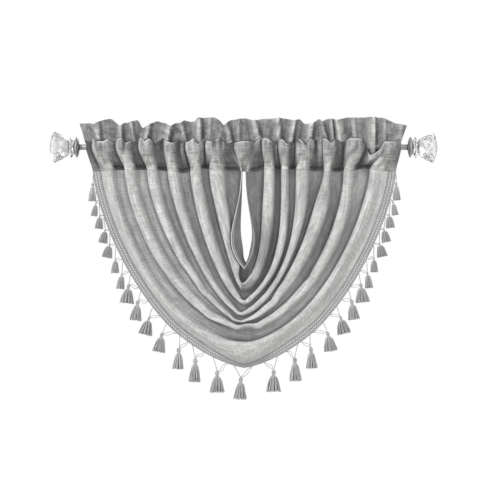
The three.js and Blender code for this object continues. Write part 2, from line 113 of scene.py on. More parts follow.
# How far each line's crest stands forward halfway down and at its lowest point, how its sides bow out,
# and how broad its fold is beside an even one, down its sides and at the seam
SHAPES = table(
    [
        "side_depth", "low_depth", "left_bow", "right_bow",
        "left_broad", "right_broad", "left_seam", "right_seam",
    ],
    [
        [8, 8, 7, 22, 1, 1, 1, 1],
        [10, 10, 37, 27, 0.2, 0.2, 0.7, 0.7],
        [20, 15, 0, 0, 1.65, 1.4, 1.25, 1.15],
        [24, 14, 0, 0, 1.1, 1.1, 1.05, 1],
        [22, 12, 0, 0, 1, 1.4, 1, 1.3],
        [26, 11, 0, 0, 1, 1.55, 1, 0.6],
        [23, 13, 0, 0, 1, 1, 1, 0.8],
        [25, 19, 0, 0, 1, 1, 1, 1],
        [14, 12, 0, 0, 1, 1, 1, 1],
    ],
)
# A fold's section over one line's pitch, at even steps along its cloth: how far across it lies and its rise.
# It stands over at the low edge like a tube lying on its side, and falls gently at the high edge.
PLEAT = table(
    ["across", "rise"],
    [
        [-0.45, -1.0], [-0.36, -1.0], [-0.26, -0.97], [-0.175, -0.82], [-0.155, -0.42], [-0.175, 0.06],
        [-0.195, 0.5], [-0.14, 0.88], [0.0, 1.0], [0.1, 0.95], [0.18, 0.78], [0.245, 0.42],
        [0.295, -0.05], [0.34, -0.48], [0.395, -0.8], [0.465, -0.95], [0.55, -1.0],
    ],
)
PLEAT_STEPS = 16
PLEAT_EDGES = (0.15, 0.5)
RIM_LINES = 1.5
BROAD_DOWN = (0.05, 0.4)
UNDER_PLACE = 0.35
UNDER_REACH = 0.06
LEAN_LIMITS = (-0.02, -0.2)
LIP_SHARE = 0.55
LIP_REACH = 0.2
LAP_LINE = 1.75
LAP_REACH = 0.25
LAP_POWER = 0.6
LAP_WIDTH = 0.5
LAP_DOWN = (0.3, 0.55, 0.93, 0.99)
RIM_REACH = 0.03
RIM_FOLD_LINE = 0.8
RIM_FOLD_HEIGHT = 1.5
RIM_FOLD_DOWN = (0.2, 0.4)
# Small dents and humps on the ridges: the place, how far they reach, and the shift outwards and forwards
DENTS = table(
    ["line", "x", "z", "reach", "outward", "forward"],
    [
        [6, -26, -619, 16, 7, -4],
        [6, 51, -615, 15, 7, -4],
        [6, 12, -614, 24, -9, 4],
        [5, -33, -590, 15, 6, -3],
        [5, 17, -597, 20, -3, 2],
        [4, -19, -564, 13, 5, -3],
        [5, 97, -524, 20, 7, -4],
        [6, 231, -445, 26, 6, -4],
        [5, -194, -376, 24, 5, -3],
        [5, -131, -481, 22, 6, -4],
        [6, -107, -563, 24, 6, -3],
        [2, -9, -474, 12, -2, 0],
        [3, -9, -519, 9, 4, 0],
        [3, 17, -519, 9, 4, 0],
        [0, 9, -372, 24, 3, 0],
        [0, -7, -345, 42, -4, 0],
    ],
)
DENT_LINES = 0.45
# Soft creases in the valleys: the line that each follows, and its height on the left and the right
CREASES = table(
    ["line", "left_height", "right_height", "half_width"],
    [
        [1.55, 2.5, 2.0, 0.06],
        [2.5, 2.0, 1.0, 0.07],
        [3.55, 2.5, 3.0, 0.07],
        [4.5, 4.0, 2.0, 0.08],
        [5.45, 3.0, 4.0, 0.07],
        [6.5, 9.0, 4.5, 0.13],
        [6.3, -2.0, -1.5, 0.05],
    ],
)
CREASE_FADE = 0.6
CREASE_FADE_DOWN = (0.75, 1.0)
# Faint ripples of the cloth: waves for each line and for each length along, their phase and height
RIPPLES = table(
    ["each_line", "each_length", "phase", "height"],
    [
        [1.7, 2.1, 0.4, 0.7],
        [3.1, 3.4, 2.0, 0.5],
        [0.6, 6.3, 4.1, 0.5],
        [4.7, 1.3, 1.1, 0.5],
        [2.2, 9.7, 5.0, 0.35],
    ],
)
FREE_LINES = (1.0, 1.3, 7.4, 8.0)
FREE_DOWN = (0.0, 0.25)
# How far the seam between panel and heading rises or dips along it
SEAM_WAVE = table(
    ["x", "rise"],
    [
        [-470, 0], [-425, 5], [-354, 5], [-278, 3], [-240, -2], [-205, -6], [-178, -2], [-150, 9],
        [-120, 8], [-95, 3], [-40, 1], [0, 0], [30, -5], [50, 0], [66, 7], [90, 6], [112, 3], [165, 5],
        [250, 1], [320, -2], [375, 3], [411, 11], [440, 6], [480, 0],
    ],
)
SEAM_WAVE_DOWN = (0.12, 0.0)
SEAM_WAVE_ROUNDING = 6.0
# How much painted shade dims the second fold right of the neckline down its length
RIGHT_DIM = table(
    ["depth", "share"],
    [
        [230, 0], [265, 0.45], [315, 0.7], [385, 0.75], [412, 0.45],
        [440, 0.5], [462, 1], [482, 1], [500, 0],
    ],
)
# Zones of the panel that take painted shade, and a few that take a painted highlight. Each rises from its
# first limit to its second, and falls from its third to its fourth where it has them. Line counts from the
# neckline. Down is 0 at the seam and 1 at a line's lowest point, along is 0 there, off is the distance
# from it, and depth is below the rod.
ZONES = {
    "folds": dict(line=(0.9, 1.3, 7.2, 8.0)),
    "near_neck": dict(line=(6.0, 2.2)),
    "bottom": dict(share=0.85, line=(6.2, 5.6), down=(0.8, 1.0)),
    "low_left": dict(share=0.75, side=LEFT, line=(6.0, 6.25), off=(0.5, 0.05)),
    "low_right": dict(share=0.75, side=RIGHT, line=(6.0, 6.25), off=(0.32, 0.05)),
    "right_folds": dict(side=RIGHT, line=(3.9, 4.3, 5.9, 6.3)),
    "right_outer": dict(line=(4.7, 5.3)),
    "right_low": dict(down=(0.3, 0.6)),
    "right_last": dict(share=0.3, side=RIGHT, line=(5.9, 6.3), down=(0.6, 0.3)),
    "upper_left": dict(share=0.4, side=LEFT, line=(2.0, 2.6), down=(0.6, 0.35)),
    "middle_left": dict(share=0.3, side=LEFT, down=(0.15, 0.4, 0.75, 0.95)),
    "right_rim": dict(depth=(265, 300)),
    "low_rim": dict(depth=(425, 445, 480, 500), along=(-0.02, 0.01)),
    "facing": dict(line=(0.985, 0.93)),
    "past_rim": dict(line=(1.02, 1.06, 1.1, 1.4)),
    "hidden_rim": dict(line=(1.3, 1.05)),
    "outer_left": dict(share=0.7, side=LEFT, line=(5.8, 6.1), down=(0.85, 0.6)),
    "below_neck": dict(share=0.9, line=(1.1, 1.3, 1.6, 1.85), down=(0.9, 1.0)),
    "left_pit": dict(side=LEFT, line=(0.5, 0.15), down=(0.8, 0.96)),
    "right_pit": dict(side=RIGHT, line=(0.45, 0.6, 0.9, 0.96), depth=(275, 300)),
    "second_right": dict(line=(1.7, 1.85, 2.2, 2.4), along=(-0.06, 0.0)),
    "right_seam": dict(share=0.35, side=RIGHT, line=(3.6, 3.85, 5.2, 5.45), depth=(240, 140)),
    "low_hem": dict(share=0.64, line=(7.3, 7.95), off=(0.3, 0.03)),
}
# How strong the painted valley shade is on the right half: inside, outside and low down
RIGHT_VALLEYS = dict(inner=0.55, outer=0.75, low=0.4)
# Painted highlight on a second rim, the share of painted shade beside a rim that shows, and the low rim
RIM_SHARE = 0.9
SHOWN_RIM_SHARE = 0.6
LOW_RIM = dict(centre=1.9, reach=0.04)

# Heading
HEADING_THICKNESS = 1.0
LAYER_HALF_GAP = 1.4
ROD_RADIUS = 9.5
ROD_CLEARANCE = 2.5
POCKET_LOW_Z = -45.0
POCKET_ROD_Z = -8.0
LOW_BELOW_STITCH = 28.0
ROD_BELOW_STITCH = 18.0
STITCH_Z = 20.0
STITCH_ROUNDING = 2.5
STITCH_SHARE = 0.3
TOP_ROUNDING = 4.0
SEAM_HALF_GAP = 0.2
BACK_DEPTH = 9.0
FOOT_SHARE = 0.2
RISE_SHARE = 0.1
RISE_DEPTH = 0.55
MIDDLE_DEPTH = 0.95
# Levels of the heading's section: shares of the way up to the pocket or to the stitching, and heights
# beside the stitching and the edge
UNDER_LEVEL = dict(x=0.4, y=0.2, z=0.5)
LOW_LEVEL = dict(x=0.5, y=0.6)
SHOULDER_LEVEL = dict(y=0.06, z=-9.0)
LIP_LEVEL = dict(x=0.4, y=0.2, z=-3.0)
RISE_LEVEL_Z = 4.5
EDGE_LEVEL_Z = -2.0
CLOTH_PER_GATHER = 85.0
COLUMNS_PER_GATHER = 22
ROWS_PER_LEVEL = 5
# A pocket ridge's section over its width, and how it leans over to the left
RIDGE = table(["share", "rise"], [[-0.1, 0], [0.03, 0.82], [0.3, 1], [0.65, 0.92], [0.9, 0.6], [1.2, 0]])
RIDGE_ROUNDING = 0.04
RIDGE_LEAN = 0.3
RIDGE_LEAN_REACH = 0.14
RIDGE_FULL_DEPTH = 20.0
# Where a ridge takes painted shade at its left foot and a painted highlight at its left edge
RIDGE_FOOT = dict(centre=-0.14, reach=0.1)
RIDGE_EDGE = dict(centre=0.05, reach=0.05)
RUFFLE_FALL = 6.0
RUFFLE_DEPTH = 1.5
RUFFLE_BACK = 0.5
RUFFLE_ROUNDING = 2.5
# Small puckers along the gathers, with their heights beside the stitching and beside the seam
PUCKERS = table(
    ["each_gather", "wander", "wander_rate", "phase", "stitch_height", "seam_height"],
    [[3.3, 0.4, 1.7, 0.0, 1.4, 0.7], [5.7, 0.6, 0.9, 0.3, 1.0, 0.5]],
)
STITCH_PUCKERS = dict(clear=6.0, reach=16.0)
SEAM_PUCKERS = dict(clear=8.0, reach=14.0)
# Slanting drags of the cloth, and fine wrinkles across the foot of the pocket
DRAGS = table(["pitch", "each_gather", "phase"], [[31, 1.7, 0.0], [19, -2.3, 0.2]])
DRAG_HEIGHT = 0.7
DRAG_RISE = 25.0
DRAG_CLEAR = (2.0, 9.0)
WRINKLE_PITCH = 8.5
WRINKLE_HEIGHT = 0.45
WRINKLE_WANDER = dict(height=2.6, rate=1.9, each_gather=7.0)
WRINKLE_FOOT = 10.0
WRINKLE_TOP = (-20.0, -45.0)
# A dark band of painted shade across the pocket's foot, where the seam allowance lies behind the cloth,
# and its waves along the gathers
BAND_Z = -71.0
BAND_HALF_HEIGHT = 6.5
BAND_EDGE = 3.0
BAND_WAVES = table(["height", "rate", "phase"], [[1.5, 2.3, 0.0], [1.0, 5.1, 1.0]])
# Less painted shade over the neckline's slit
SLIT = dict(centre=2.0, reach=9.0)
SLIT_SHARE = 0.75
SLIT_TOP = (-40.0, -62.0)
# Painted shades and painted highlights of the heading: at the stitching, in the pocket, and beside the
# ruffle's folds from foot to edge
GROOVE_REACH = 3.0
GROOVE_HEIGHTS = (12.0, 28.0)
GROOVE_SHARES = (1.0, 0.15)
HOLLOW_FOOT = 0.5
HUMP_LIGHT = 0.7
JOIN_FOOT = 5.0
POCKET_EDGE = (2.0, 8.0)
POCKET_FOOT = 30.0
POCKET_SHADE = 0.12
LIP = dict(centre=-4.0, reach=2.5)
RIDGE_EDGE_LIGHT = 0.75
SHADE_REACHES = (7.5, 5.0)
SHADE_SHARES = (0.95, 0.6)
SHADE_FULL_DEPTH = 11.0
# The heading's gathers from left to right. Line is the panel line at the seam, negative on the left half.
# Rod_x and top_x place the same upright thread of cloth at the rod and at the ruffle's edge.
GATHERS = table(
    ["line", "rod_x", "top_x"],
    [
        [-9, -534, -558], [-7, -478, -501], [-6, -406, -420], [-5.5, -365, -379], [-5, -328, -338],
        [-4, -253, -270], [-3.5, -212, -221], [-3, -161, -161], [-2.5, -131, -121], [-2, -100, -76],
        [-0.5, -9, -25], [1.2, 43, 39], [2, 83, 110], [3, 141, 158], [4, 209, 216], [5, 291, 277],
        [5.5, 331, 321], [6, 383, 369], [6.5, 430, 427], [7, 478, 481], [9, 534, 555],
    ],
)
# The pocket's upright ridges at the rod, with how far each stands forward
POCKET_RIDGES = table(
    ["left_x", "right_x", "depth"],
    [
        [-505, -447, 20], [-425, -382, 21], [-348, -308, 21], [-264, -233, 19], [-213, -199, 9],
        [-189, -138, 22], [-122, -73, 20], [-25, 17, 19], [70, 97, 20], [106, 116, 8], [124, 155, 19],
        [185, 236, 22], [253, 272, 14], [274, 311, 21], [352, 423, 19], [428, 522, 21],
    ],
)
# The ruffle's folds: each comes forward from back_x to front_x at the edge, then falls back to the next,
# or the other way round where its depth is negative. Slant is how much further right its foot lies.
RUFFLE_FOLDS = table(
    ["back_x", "front_x", "depth", "slant"],
    [
        [-522, -495, 9, 8], [-437, -416, 11, 2], [-393, -382, 8, 13], [-345, -318, 13, -10],
        [-280, -243, 14, -14], [-226, -212, 8, 18], [-178, -148, 13, 3], [-127, -114, 4, 0],
        [-78, -57, 11, 18], [-26, -15, 5, 0], [13, 40, 13, 17], [97, 121, 12, 4], [151, 176, 12, -12],
        [202, 236, 14, -6], [252, 264, 7, 19], [286, 299, 10, 6], [314, 346, -12, 12], [362, 376, 3, 6],
        [415, 446, 11, 0], [474, 481, 4, 0], [518, 539, 6, 0],
    ],
)
# Pinched hollows that run down the pocket from the stitching, and humps where the depth is negative
HOLLOWS = table(
    ["x", "half_width", "foot_z", "depth"],
    [
        [-500, 5, -12, 6], [-404, 8, -32, 10], [-280, 8, -35, 8], [-218, 6, -40, 6], [-160, 8, 2, 7],
        [-101, 9, -38, 12], [-68, 8, -22, -8], [-76, 7, -30, 10], [8, 20, -74, -10], [48, 14, -32, -9],
        [108, 4, -30, 5], [183, 8, -14, 9], [212, 8, -14, 10], [247, 5, -40, 6], [296, 9, 4, 6],
        [343, 8, -45, 6], [408, 6, -22, 7], [450, 10, -18, 7],
    ],
)
# The stitching between pocket and ruffle: peaks where the pocket's lips stand up, dips where folds hang over
STITCHING = table(
    ["x", "z"],
    [
        [-536, 16], [-506, 29], [-498, 20], [-475, 21], [-461, 31], [-448, 18], [-438, 16], [-416, 34],
        [-402, 14], [-385, 23], [-370, 14], [-345, 33], [-337, 19], [-320, 31], [-300, 5], [-273, 31],
        [-261, 20], [-243, 15], [-223, 25], [-210, 11], [-199, 22], [-186, 17], [-170, 32], [-153, 9],
        [-138, 28], [-108, 20], [-80, 31], [-57, 8], [-11, 20], [26, 20], [34, 14], [55, 30], [82, 31],
        [106, 14], [133, 28], [147, 12], [174, 16], [190, 33], [212, 4], [225, 30], [245, 22], [276, 30],
        [295, 16], [315, 29], [334, 12], [361, 31], [393, 30], [413, 22], [421, -8], [431, -27],
        [446, -20], [463, -6], [477, 20], [518, 20], [549, 28],
    ],
)
# The ruffle's upper edge as it shows from the front
TOP_EDGE = table(
    ["x", "z"],
    [
        [-559, 80], [-518, 82], [-513, 76], [-478, 92], [-450, 96], [-416, 69], [-408, 83], [-396, 82],
        [-359, 93], [-345, 64], [-294, 89], [-263, 80], [-246, 69], [-233, 82], [-209, 82], [-205, 92],
        [-182, 86], [-165, 86], [-158, 98], [-97, 100], [-76, 86], [-70, 72], [-46, 90], [8, 98],
        [34, 89], [66, 96], [127, 98], [148, 96], [172, 89], [192, 96], [207, 79], [233, 79], [257, 96],
        [269, 86], [280, 94], [304, 96], [318, 90], [345, 99], [416, 100], [476, 98], [518, 80],
        [539, 76], [556, 74],
    ],
)

# Braid
BRAID_WIDTH = 28.0
BRAID_MIDDLE = 8.5
BRAID_FOOT = 0.7
BRAID_BACK = 0.3
BRAID_GAP = 0.02
BRAID_STEP = 1.4
BRAID_COLUMNS = 30
BRAID_BODY = 1.2
BRAID_RELIEF = 2.0
BRAID_LEVEL = 0.4
BRAID_CORD = 1.8
BRAID_CORD_FOOT = 0.2
BRAID_CORD_SHARE = 0.17
CORD_PITCH = 7.4
CORD_TWIST = 0.35
PLAIT_COLUMNS = 2
PLAIT_END = 0.9999
PLAIT_PITCH = 9.5
PLAIT_SLANT = 0.8
PLAIT_PHASE = 0.37
STITCH_POWER = 0.7
FURROW_POWER = 0.6
# Painted shade on the braid: in its low furrows between these heights, along its sides and where the hem
# tucks under
FURROW_HEIGHTS = (3.5, 1.9)
SIDE_SHADE_SHARES = (0.12, 0.06)
SIDE_SHADE = 0.9
TUCK_SHADE = 0.4
HEM_SAMPLES = 2000

# Tassels up each side of the hem, from the top down, and one at the hem's lowest point.
# Each hangs on an outer cord sewn on at root_z and an inner loop that rises from the knot to the hem.
# The knot lies out from that cord's root and drop below it. Lean is how far a tassel's foot swings outwards.
SIDE_TASSELS = table(
    ["root_z", "drop", "out", "rise", "length", "width", "lean"],
    [
        [-96, 26, 0, -3, 62, 26, 4],
        [-151, 38, 0, 9, 46, 25, 7],
        [-188, 42, -4, -3, 48, 33, 5],
        [-239, 40, -6, -3, 48, 35, 10],
        [-292, 36, 0, -3, 49, 39, 10],
        [-338, 40, 1, -3, 50, 30, 1],
        [-387, 41, 3, 4, 54, 31, 6],
        [-433, 32, 5, -12, 66, 52, 8],
        [-489, 31, 9, -2, 69, 43, 9],
        [-544, 32, 11, 4, 62, 51, 14],
        [-599, 30, 14, -4, 67, 49, 12],
        [-644, 39, 3, 14, 73, 41, 4],
        [-678, 43, -10, 13, 81, 45, 3],
        [-720, 44, -13, 20, 75, 53, 0],
    ],
)
RIGHT_TASSEL_RISE = 3.0
LOW_TASSEL = dict(left_x=-33.0, right_x=31.0, knot_x=-9.0, drop=33.0, length=76.0, width=47.0, lean=4.0)
# A tassel's cords: radius, length of a full twist, and sides of each thread
OUTER_CORD = dict(radius=1.6, pitch=5.0, sides=5)
LOOP_CORD = dict(radius=1.1, pitch=4.0, sides=4)
CORD_OFFSET = 1.0
CORD_STEPS = 18
CORD_BEND = 0.8
CROSSWISE_LIMIT = 0.9
TWIST_STEPS = 8
TWIST_OFFSET = 0.5
TWIST_THREAD = 0.58
KNOT_DROP = 2.0
LOOP_SPREAD = 9.0
LOOP_SPREAD_SHARE = 0.3
LOOP_SAGS = (0.3, 0.8)
LOOP_WIGGLE = 0.12
LOWER_WIGGLE = 0.7
# A tassel's head, neck and skirt, for one 76 mm long
HEAD_LENGTH = 76.0
HEAD_LOOPS = 6
HEAD_LOOP_STEPS = 14
HEAD_LOOP_SIDES = 6
HEAD_LOOP_RADIUS = 1.5
HEAD_LOOP_TOP = 1.5
HEAD_LOOP_HEIGHT = 16.0
HEAD_LOOP_OUT = 7.0
HEAD_LOOP_OUTS = (0.88, 1.08)
HEAD_LOOP_SWING = 0.12
CORE = table(["down", "radius"], [[0.5, 1.2], [6, 3.2], [12, 3.6], [21, 4.2]])
CORE_SIDES = 8
NECK_TURNS = 4
NECK_TOP = 16.0
NECK_PITCH = 1.8
NECK_RADIUS = 4.4
NECK_THREAD = 1.2
RING_SIDES = 6
RING_STEPS = 20
SKIRT_TOP = 19.0
# Rings of the skirt's strands from the outside in; dark is the painted shade of the inner strands
SKIRT_RINGS = table(
    ["strands", "root", "end", "dark"], [[36, 4.6, 0.5, 0.0], [30, 3.4, 0.42, 0.4], [16, 1.6, 0.25, 0.8]]
)
# The skirt's hidden filling, in painted shade
FILLING_RADII = np.array([0.06, 0.2, 0.27, 0.31, 0.34])
FILLING_END = 0.93
FILLING_SIDES = 10
FILLING_SHADE = 0.85
SKIRT_LOCKS = 11
SKIRT_CLUMP = 0.55
SKIRT_CLUMP_POWER = 0.8
SKIRT_SWING = 0.06
SKIRT_ENDS = (0.86, 1.0)
SKIRT_FEET = (0.95, 1.0)
SKIRT_LENGTHS = (52.0, 72.0)
SKIRT_FLARES = (0.36, 0.5)
SWAY = 0.5
SWAY_TURNS = (0.8, 1.5)
SWAY_SPREAD = 3
SMALL_HEAD = 0.6
STRAND_RADIUS = 1.05
STRAND_TAPER = (0.75, 1.1)
STRAND_STEPS = 8
STRAND_SIDES = 4

# Rod and finials
ROD_HALF_LENGTH = 558.7
ROD_PROFILE = table(
    ["along", "radius"],
    [[0, 0.1], [0, 8.9], [0.6, 9.5], [1116.8, 9.5], [1117.4, 8.9], [1117.4, 0.1]],
)
COLLAR_PROFILE = table(
    ["along", "radius"],
    [
        [-2.2, 9.7], [-2.2, 10.6], [0.4, 10.6], [0.4, 17], [1, 20.5], [3, 27.5], [5, 32.4], [6.4, 34.9],
        [7.5, 35.5], [8.8, 34.7], [10.5, 32], [13, 27.5], [15.4, 23], [16, 21.4], [16, 0.1],
    ],
)
# The collar's short sleeve round the rod takes the dark material: a painted shadow where the rod enters
COLLAR_SHADOW_BANDS = (0, 1)
BEAD_PROFILE = table(
    ["along", "radius"],
    [
        [0, 0.1], [0, 21], [0.6, 22.4], [8.6, 34.5], [10, 36.2], [11, 36.5], [12, 35.6], [13.6, 29],
        [14.4, 22], [14.4, 20], [17.8, 20], [17.8, 0.1],
    ],
)
BEAD_DARK_BANDS = (9,)
BEAD_LENGTH = 18.0
KNOB_SIDES = 8
KNOB_WIDEST_RING = 3
KNOB_RINGS = table(["along", "radius"], [[0, 24], [5, 31], [26, 44], [49, 54], [57, 39], [64, 12]])
KNOB_BEVEL = 0.9
KNOB_BEVEL_SEGMENTS = 2
KNOB_BEVEL_ANGLE = 20
LATHE_SIDES = 72

# Materials: the greys of each, and noise as its scale on each axis, detail and roughness
GREY_BLUE = 0.99
PANEL_LINEN = dict(light=0.63, dark=0.31, translucent=0.1, mottle=0.1)
HEADING_LINEN = dict(light=0.5, dark=0.19, translucent=0.08, mottle=0.5)
LINEN_NOISE = dict(
    warp=((190.0, 16.0, 1.0), 3.0, 0.6),
    weft=((20.0, 190.0, 1.0), 3.0, 0.6),
    cloud=((9.0, 7.0, 1.0), 2.0, 0.5),
    blotch=((34.0, 42.0, 1.0), 2.0, 0.5),
)
WARP_SHARE = 0.6
WEFT_SHARE = 0.4
CLOUD_SHARE = 0.25
TONE_RANGE = np.array([0.49, 0.77])
THREAD_PITCH = 0.0016
THREAD_TONE = 0.05
THREAD_BUMP = 0.25
LINEN_BUMP = {"Strength": 0.35, "Distance": 0.0012}
LINEN_SURFACE = {"Roughness": 0.9, "Sheen Weight": 0.15, "Sheen Roughness": 0.5, "Specular IOR Level": 0.2}
FRONT_RANGE = (0.15, -0.15)
BEHIND_SHARE = 0.5
# Painted shade in the panel's valleys: how strong it is from the outer folds to the inner ones, and the grey
# it tends to
VALLEY_STRENGTH = (0.14, 0.66)
VALLEY_GREY = 0.06
# The panel's painted shades and painted highlight after its valleys: the mark of each, how strong it is
# and the grey it tends to
PANEL_SHADES = [["under", 0.6, 0.03], ["facing", 0.7, 0.06], ["dim_shade", 0.7, 0.1], ["rim", 0.4, 0.8]]
# The heading's painted highlight on crests and lips, and its painted shade in valleys, pinches and the band
CREST_RANGE = (0.6, 0.2)
CREST_LIGHT = 1.4
LIP_GREY = 0.6
POCKET_VALLEYS = (0.8, 0.5)
POCKET_GREY = 0.04
PINCH = dict(strength=0.85, level=0.02)
BAND = dict(strength=0.75, level=0.03)
BAND_RANGE = (0.35, 0.75)
GIMP = dict(light=0.54, dark=0.36)
SPUN = dict(light=0.48, dark=0.29)
FIBRE_NOISE = ((900.0, 900.0, 60.0), 3.0, 0.6)
FIBRE_CLOUD = ((60.0, 60.0, 40.0), 2.0)
FIBRE_SHARE = 0.6
FIBRE_RANGE = (0.3, 0.7)
# Painted shade in the yarn's furrows: the share of its dark grey that it tends to, and how strong it is
FURROW_DARK = 0.2
FURROW_STRENGTH = 0.85
YARN_BUMP = {"Strength": 0.4, "Distance": 0.0006}
YARN_SURFACE = {"Roughness": 0.75, "Sheen Weight": 0.2, "Specular IOR Level": 0.3}
SATIN_METAL = dict(light=0.45, dark=0.37, roughness=0.5)
# Near-black metal: the bead's spacer ring, and a painted shadow on the collar's sleeve where the rod enters
DARK_METAL_AND_SHADOW = dict(light=0.05, dark=0.03, roughness=0.5)
TURNING_NOISE = ((1400.0, 40.0, 40.0), 2.0)
METAL_CLOUD = ((30.0, 60.0, 60.0), 2.0)
# Painted shade where the metal's faces turn up or down: the range over which it grows and how strong it
# gets, and the share of the dark grey it tends to
METAL_SHADE_RANGE = (0.8, 0.97, 0.0, 0.6)
METAL_SHADE_DARK = 0.2
METAL_MARKS = (0.2, 0.8)
METAL_ROUGH = (0.8, 1.25)
METAL_BUMP = {"Strength": 0.08, "Distance": 0.0003}
CRYSTAL_TINTS = dict(knob=0.84, bead=0.95)
CRYSTAL_TINT_STEP = 0.005
POLISH_NOISE = ((220.0, 220.0, 220.0), 2.0)
POLISH_ROUGH = (0.3, 0.8, 0.03, 0.12)
CRYSTAL_BUMP = {"Strength": 0.03, "Distance": 0.0004}
CRYSTAL_SURFACE = {"IOR": 1.47, "Transmission Weight": 0.8}
FLOOR_NOISE = ((3.0, 3.0, 3.0), 3.0)
FLOOR_GREYS = (0.86, 0.9)
FLOOR_ROUGHNESS = 0.7


# Curves and grids

def smooth(value, low, high, falling=None, fallen=None):
    """0 at low, 1 at high and an even S between, and back from falling to fallen where they are given."""
    t = np.clip((value - low) / (high - low), 0, 1)
    rise = t * t * (3 - 2 * t)
    return rise if falling is None else rise * smooth(value, fallen, falling)


def mix(a, b, share):
    return a + (b - a) * share


def bell(value, centre, reach):
    """1 at the centre, and falling away evenly on both sides of it."""
    return np.exp(-(((value - centre) / reach) ** 2))


def highest(*values):
    return np.max(np.stack(np.broadcast_arrays(*values)), axis=0)


def unit(vectors):
    return vectors / np.linalg.norm(vectors, axis=-1, keepdims=True)


def stacked(*parts):
    """Parts of matching shapes side by side along a new last axis."""
    return np.stack(np.broadcast_arrays(*parts), axis=-1)


def turns(count):
    """Even angles round a circle."""
    return np.arange(count) * TURN / count


def rows_of(source):
    """The rows of a table, each with its values by name."""
    return [dict(zip(source, row)) for row in zip(*source.values())]


def between(values, place):
    """The values at places between them, on a smooth curve through them with straight ends."""
    place = np.asarray(place, float)
    last = len(values) - 1
    first = np.clip(np.floor(place).astype(int), 0, last - 1)
    shape = place.shape + (1,) * (values.ndim - 1)
    t = (place - first).reshape(shape)
    b = values[first]
    c = values[first + 1]
    a = np.where((first == 0).reshape(shape), 2 * b - c, values[np.maximum(first - 1, 0)])
    d = np.where((first == last - 1).reshape(shape), 2 * c - b, values[np.minimum(first + 2, last)])
    return b + 0.5 * t * (c - a + t * (2 * a - 5 * b + 4 * c - d + t * (3 * (b - c) + d - a)))


def softened(x, knots, heights, reach):
    """Straight runs between knots with their corners rounded off."""
    return np.mean([np.interp(x + d * reach, knots, heights) for d in (-1, -0.5, 0, 0.5, 1)], axis=0)


def grid_faces(rows, columns, close_rows=False, close_columns=False):
    """The four-cornered faces of a grid of points, listed row by row."""
    row = np.arange(rows if close_rows else rows - 1)
    column = np.arange(columns if close_columns else columns - 1)
    i, j = np.meshgrid(row, column, indexing="ij")
    i_next = (i + 1) % rows
    j_next = (j + 1) % columns
    corners = [i * columns + j, i * columns + j_next, i_next * columns + j_next, i_next * columns + j]
    return stacked(*corners).reshape(-1, 4).tolist()


def tube_faces(rows, columns):
    """The faces of a closed tube whose rows of points are its rings."""
    ends = [list(range(columns))[::-1], list(range((rows - 1) * columns, rows * columns))]
    return grid_faces(rows, columns, close_columns=True) + ends


def lengths_along(points, axis):
    """The distance run along one axis of a grid of points."""
    steps = np.linalg.norm(np.diff(points, axis=axis), axis=-1)
    start = np.zeros_like(np.take(steps, [0], axis=axis))
    return np.cumsum(np.concatenate([start, steps], axis=axis), axis=axis)


def frames(paths):
    """The directions to the side and to the front at every step of paths."""
    tangent = unit(np.gradient(paths, axis=-2))
    crosswise = np.abs(tangent[..., 1:2]) < CROSSWISE_LIMIT
    side = unit(np.cross(tangent, np.where(crosswise, [0.0, 1.0, 0.0], [1.0, 0.0, 0.0])))
    return side, np.cross(side, tangent)


class Pile:
    """Points and faces of a piece that is made of many small closed forms, each point with a mark of painted
    shade.
    """

    def __init__(self):
        self.points = np.empty((0, 3))
        self.faces = []
        self.marks = []

    def add(self, points, faces, mark=0.0):
        start = len(self.points)
        self.points = np.concatenate([self.points, points.reshape(-1, 3)])
        self.marks.extend([mark] * (len(self.points) - start))
        self.faces.extend([[k + start for k in face] for face in faces])

    def add_tubes(self, paths, radii, sides, mark=0.0):
        """Closed tubes along paths, an array of tubes by steps by 3, with a radius for each step."""
        tubes, steps, _ = paths.shape
        side, front = frames(paths)
        angle = turns(sides)[:, None]
        ring = np.cos(angle) * side[:, :, None] + np.sin(angle) * front[:, :, None]
        points = paths[:, :, None] + np.broadcast_to(radii, (tubes, steps))[..., None, None] * ring
        faces = tube_faces(steps, sides)
        for tube in points:
            self.add(tube, faces, mark)

    def add_cord(self, path, radius, pitch, sides):
        """A cord of two threads twisted round each other along a path."""
        run = lengths_along(path, 0)
        steps = max(TWIST_STEPS, int(run[-1] / pitch * TWIST_STEPS))
        even = np.linspace(0, run[-1], steps + 1)
        line = stacked(*(np.interp(even, run, axis) for axis in path.T))
        side, front = frames(line)
        turn = (TURN * even / pitch)[:, None]
        offset = TWIST_OFFSET * radius * (np.cos(turn) * side + np.sin(turn) * front)
        self.add_tubes(np.stack([line + offset, line - offset]), TWIST_THREAD * radius, sides)

    def add_ring(self, down, radius, thread):
        """A closed ring of thread round the Z axis."""
        turn = turns(RING_STEPS)[:, None]
        tube = turns(RING_SIDES)[None, :]
        reach = radius + thread * np.cos(tube)
        points = stacked(reach * np.cos(turn), reach * np.sin(turn), thread * np.sin(tube) - down)
        self.add(points, grid_faces(RING_STEPS, RING_SIDES, True, True))

    def place(self, tilt, place):
        """Tilts all points about Y and moves them to a place."""
        x, y, z = self.points.T
        c = math.cos(tilt)
        s = math.sin(tilt)
        self.points = stacked(c * x + s * z, y, c * z - s * x) + place


def add_object(name, data):
    thing = bpy.data.objects.new(name, data)
    bpy.context.scene.collection.objects.link(thing)
    return thing


def modify(piece, name, kind, **settings):
    modifier = piece.modifiers.new(name, kind)
    for setting, value in settings.items():
        setattr(modifier, setting, value)


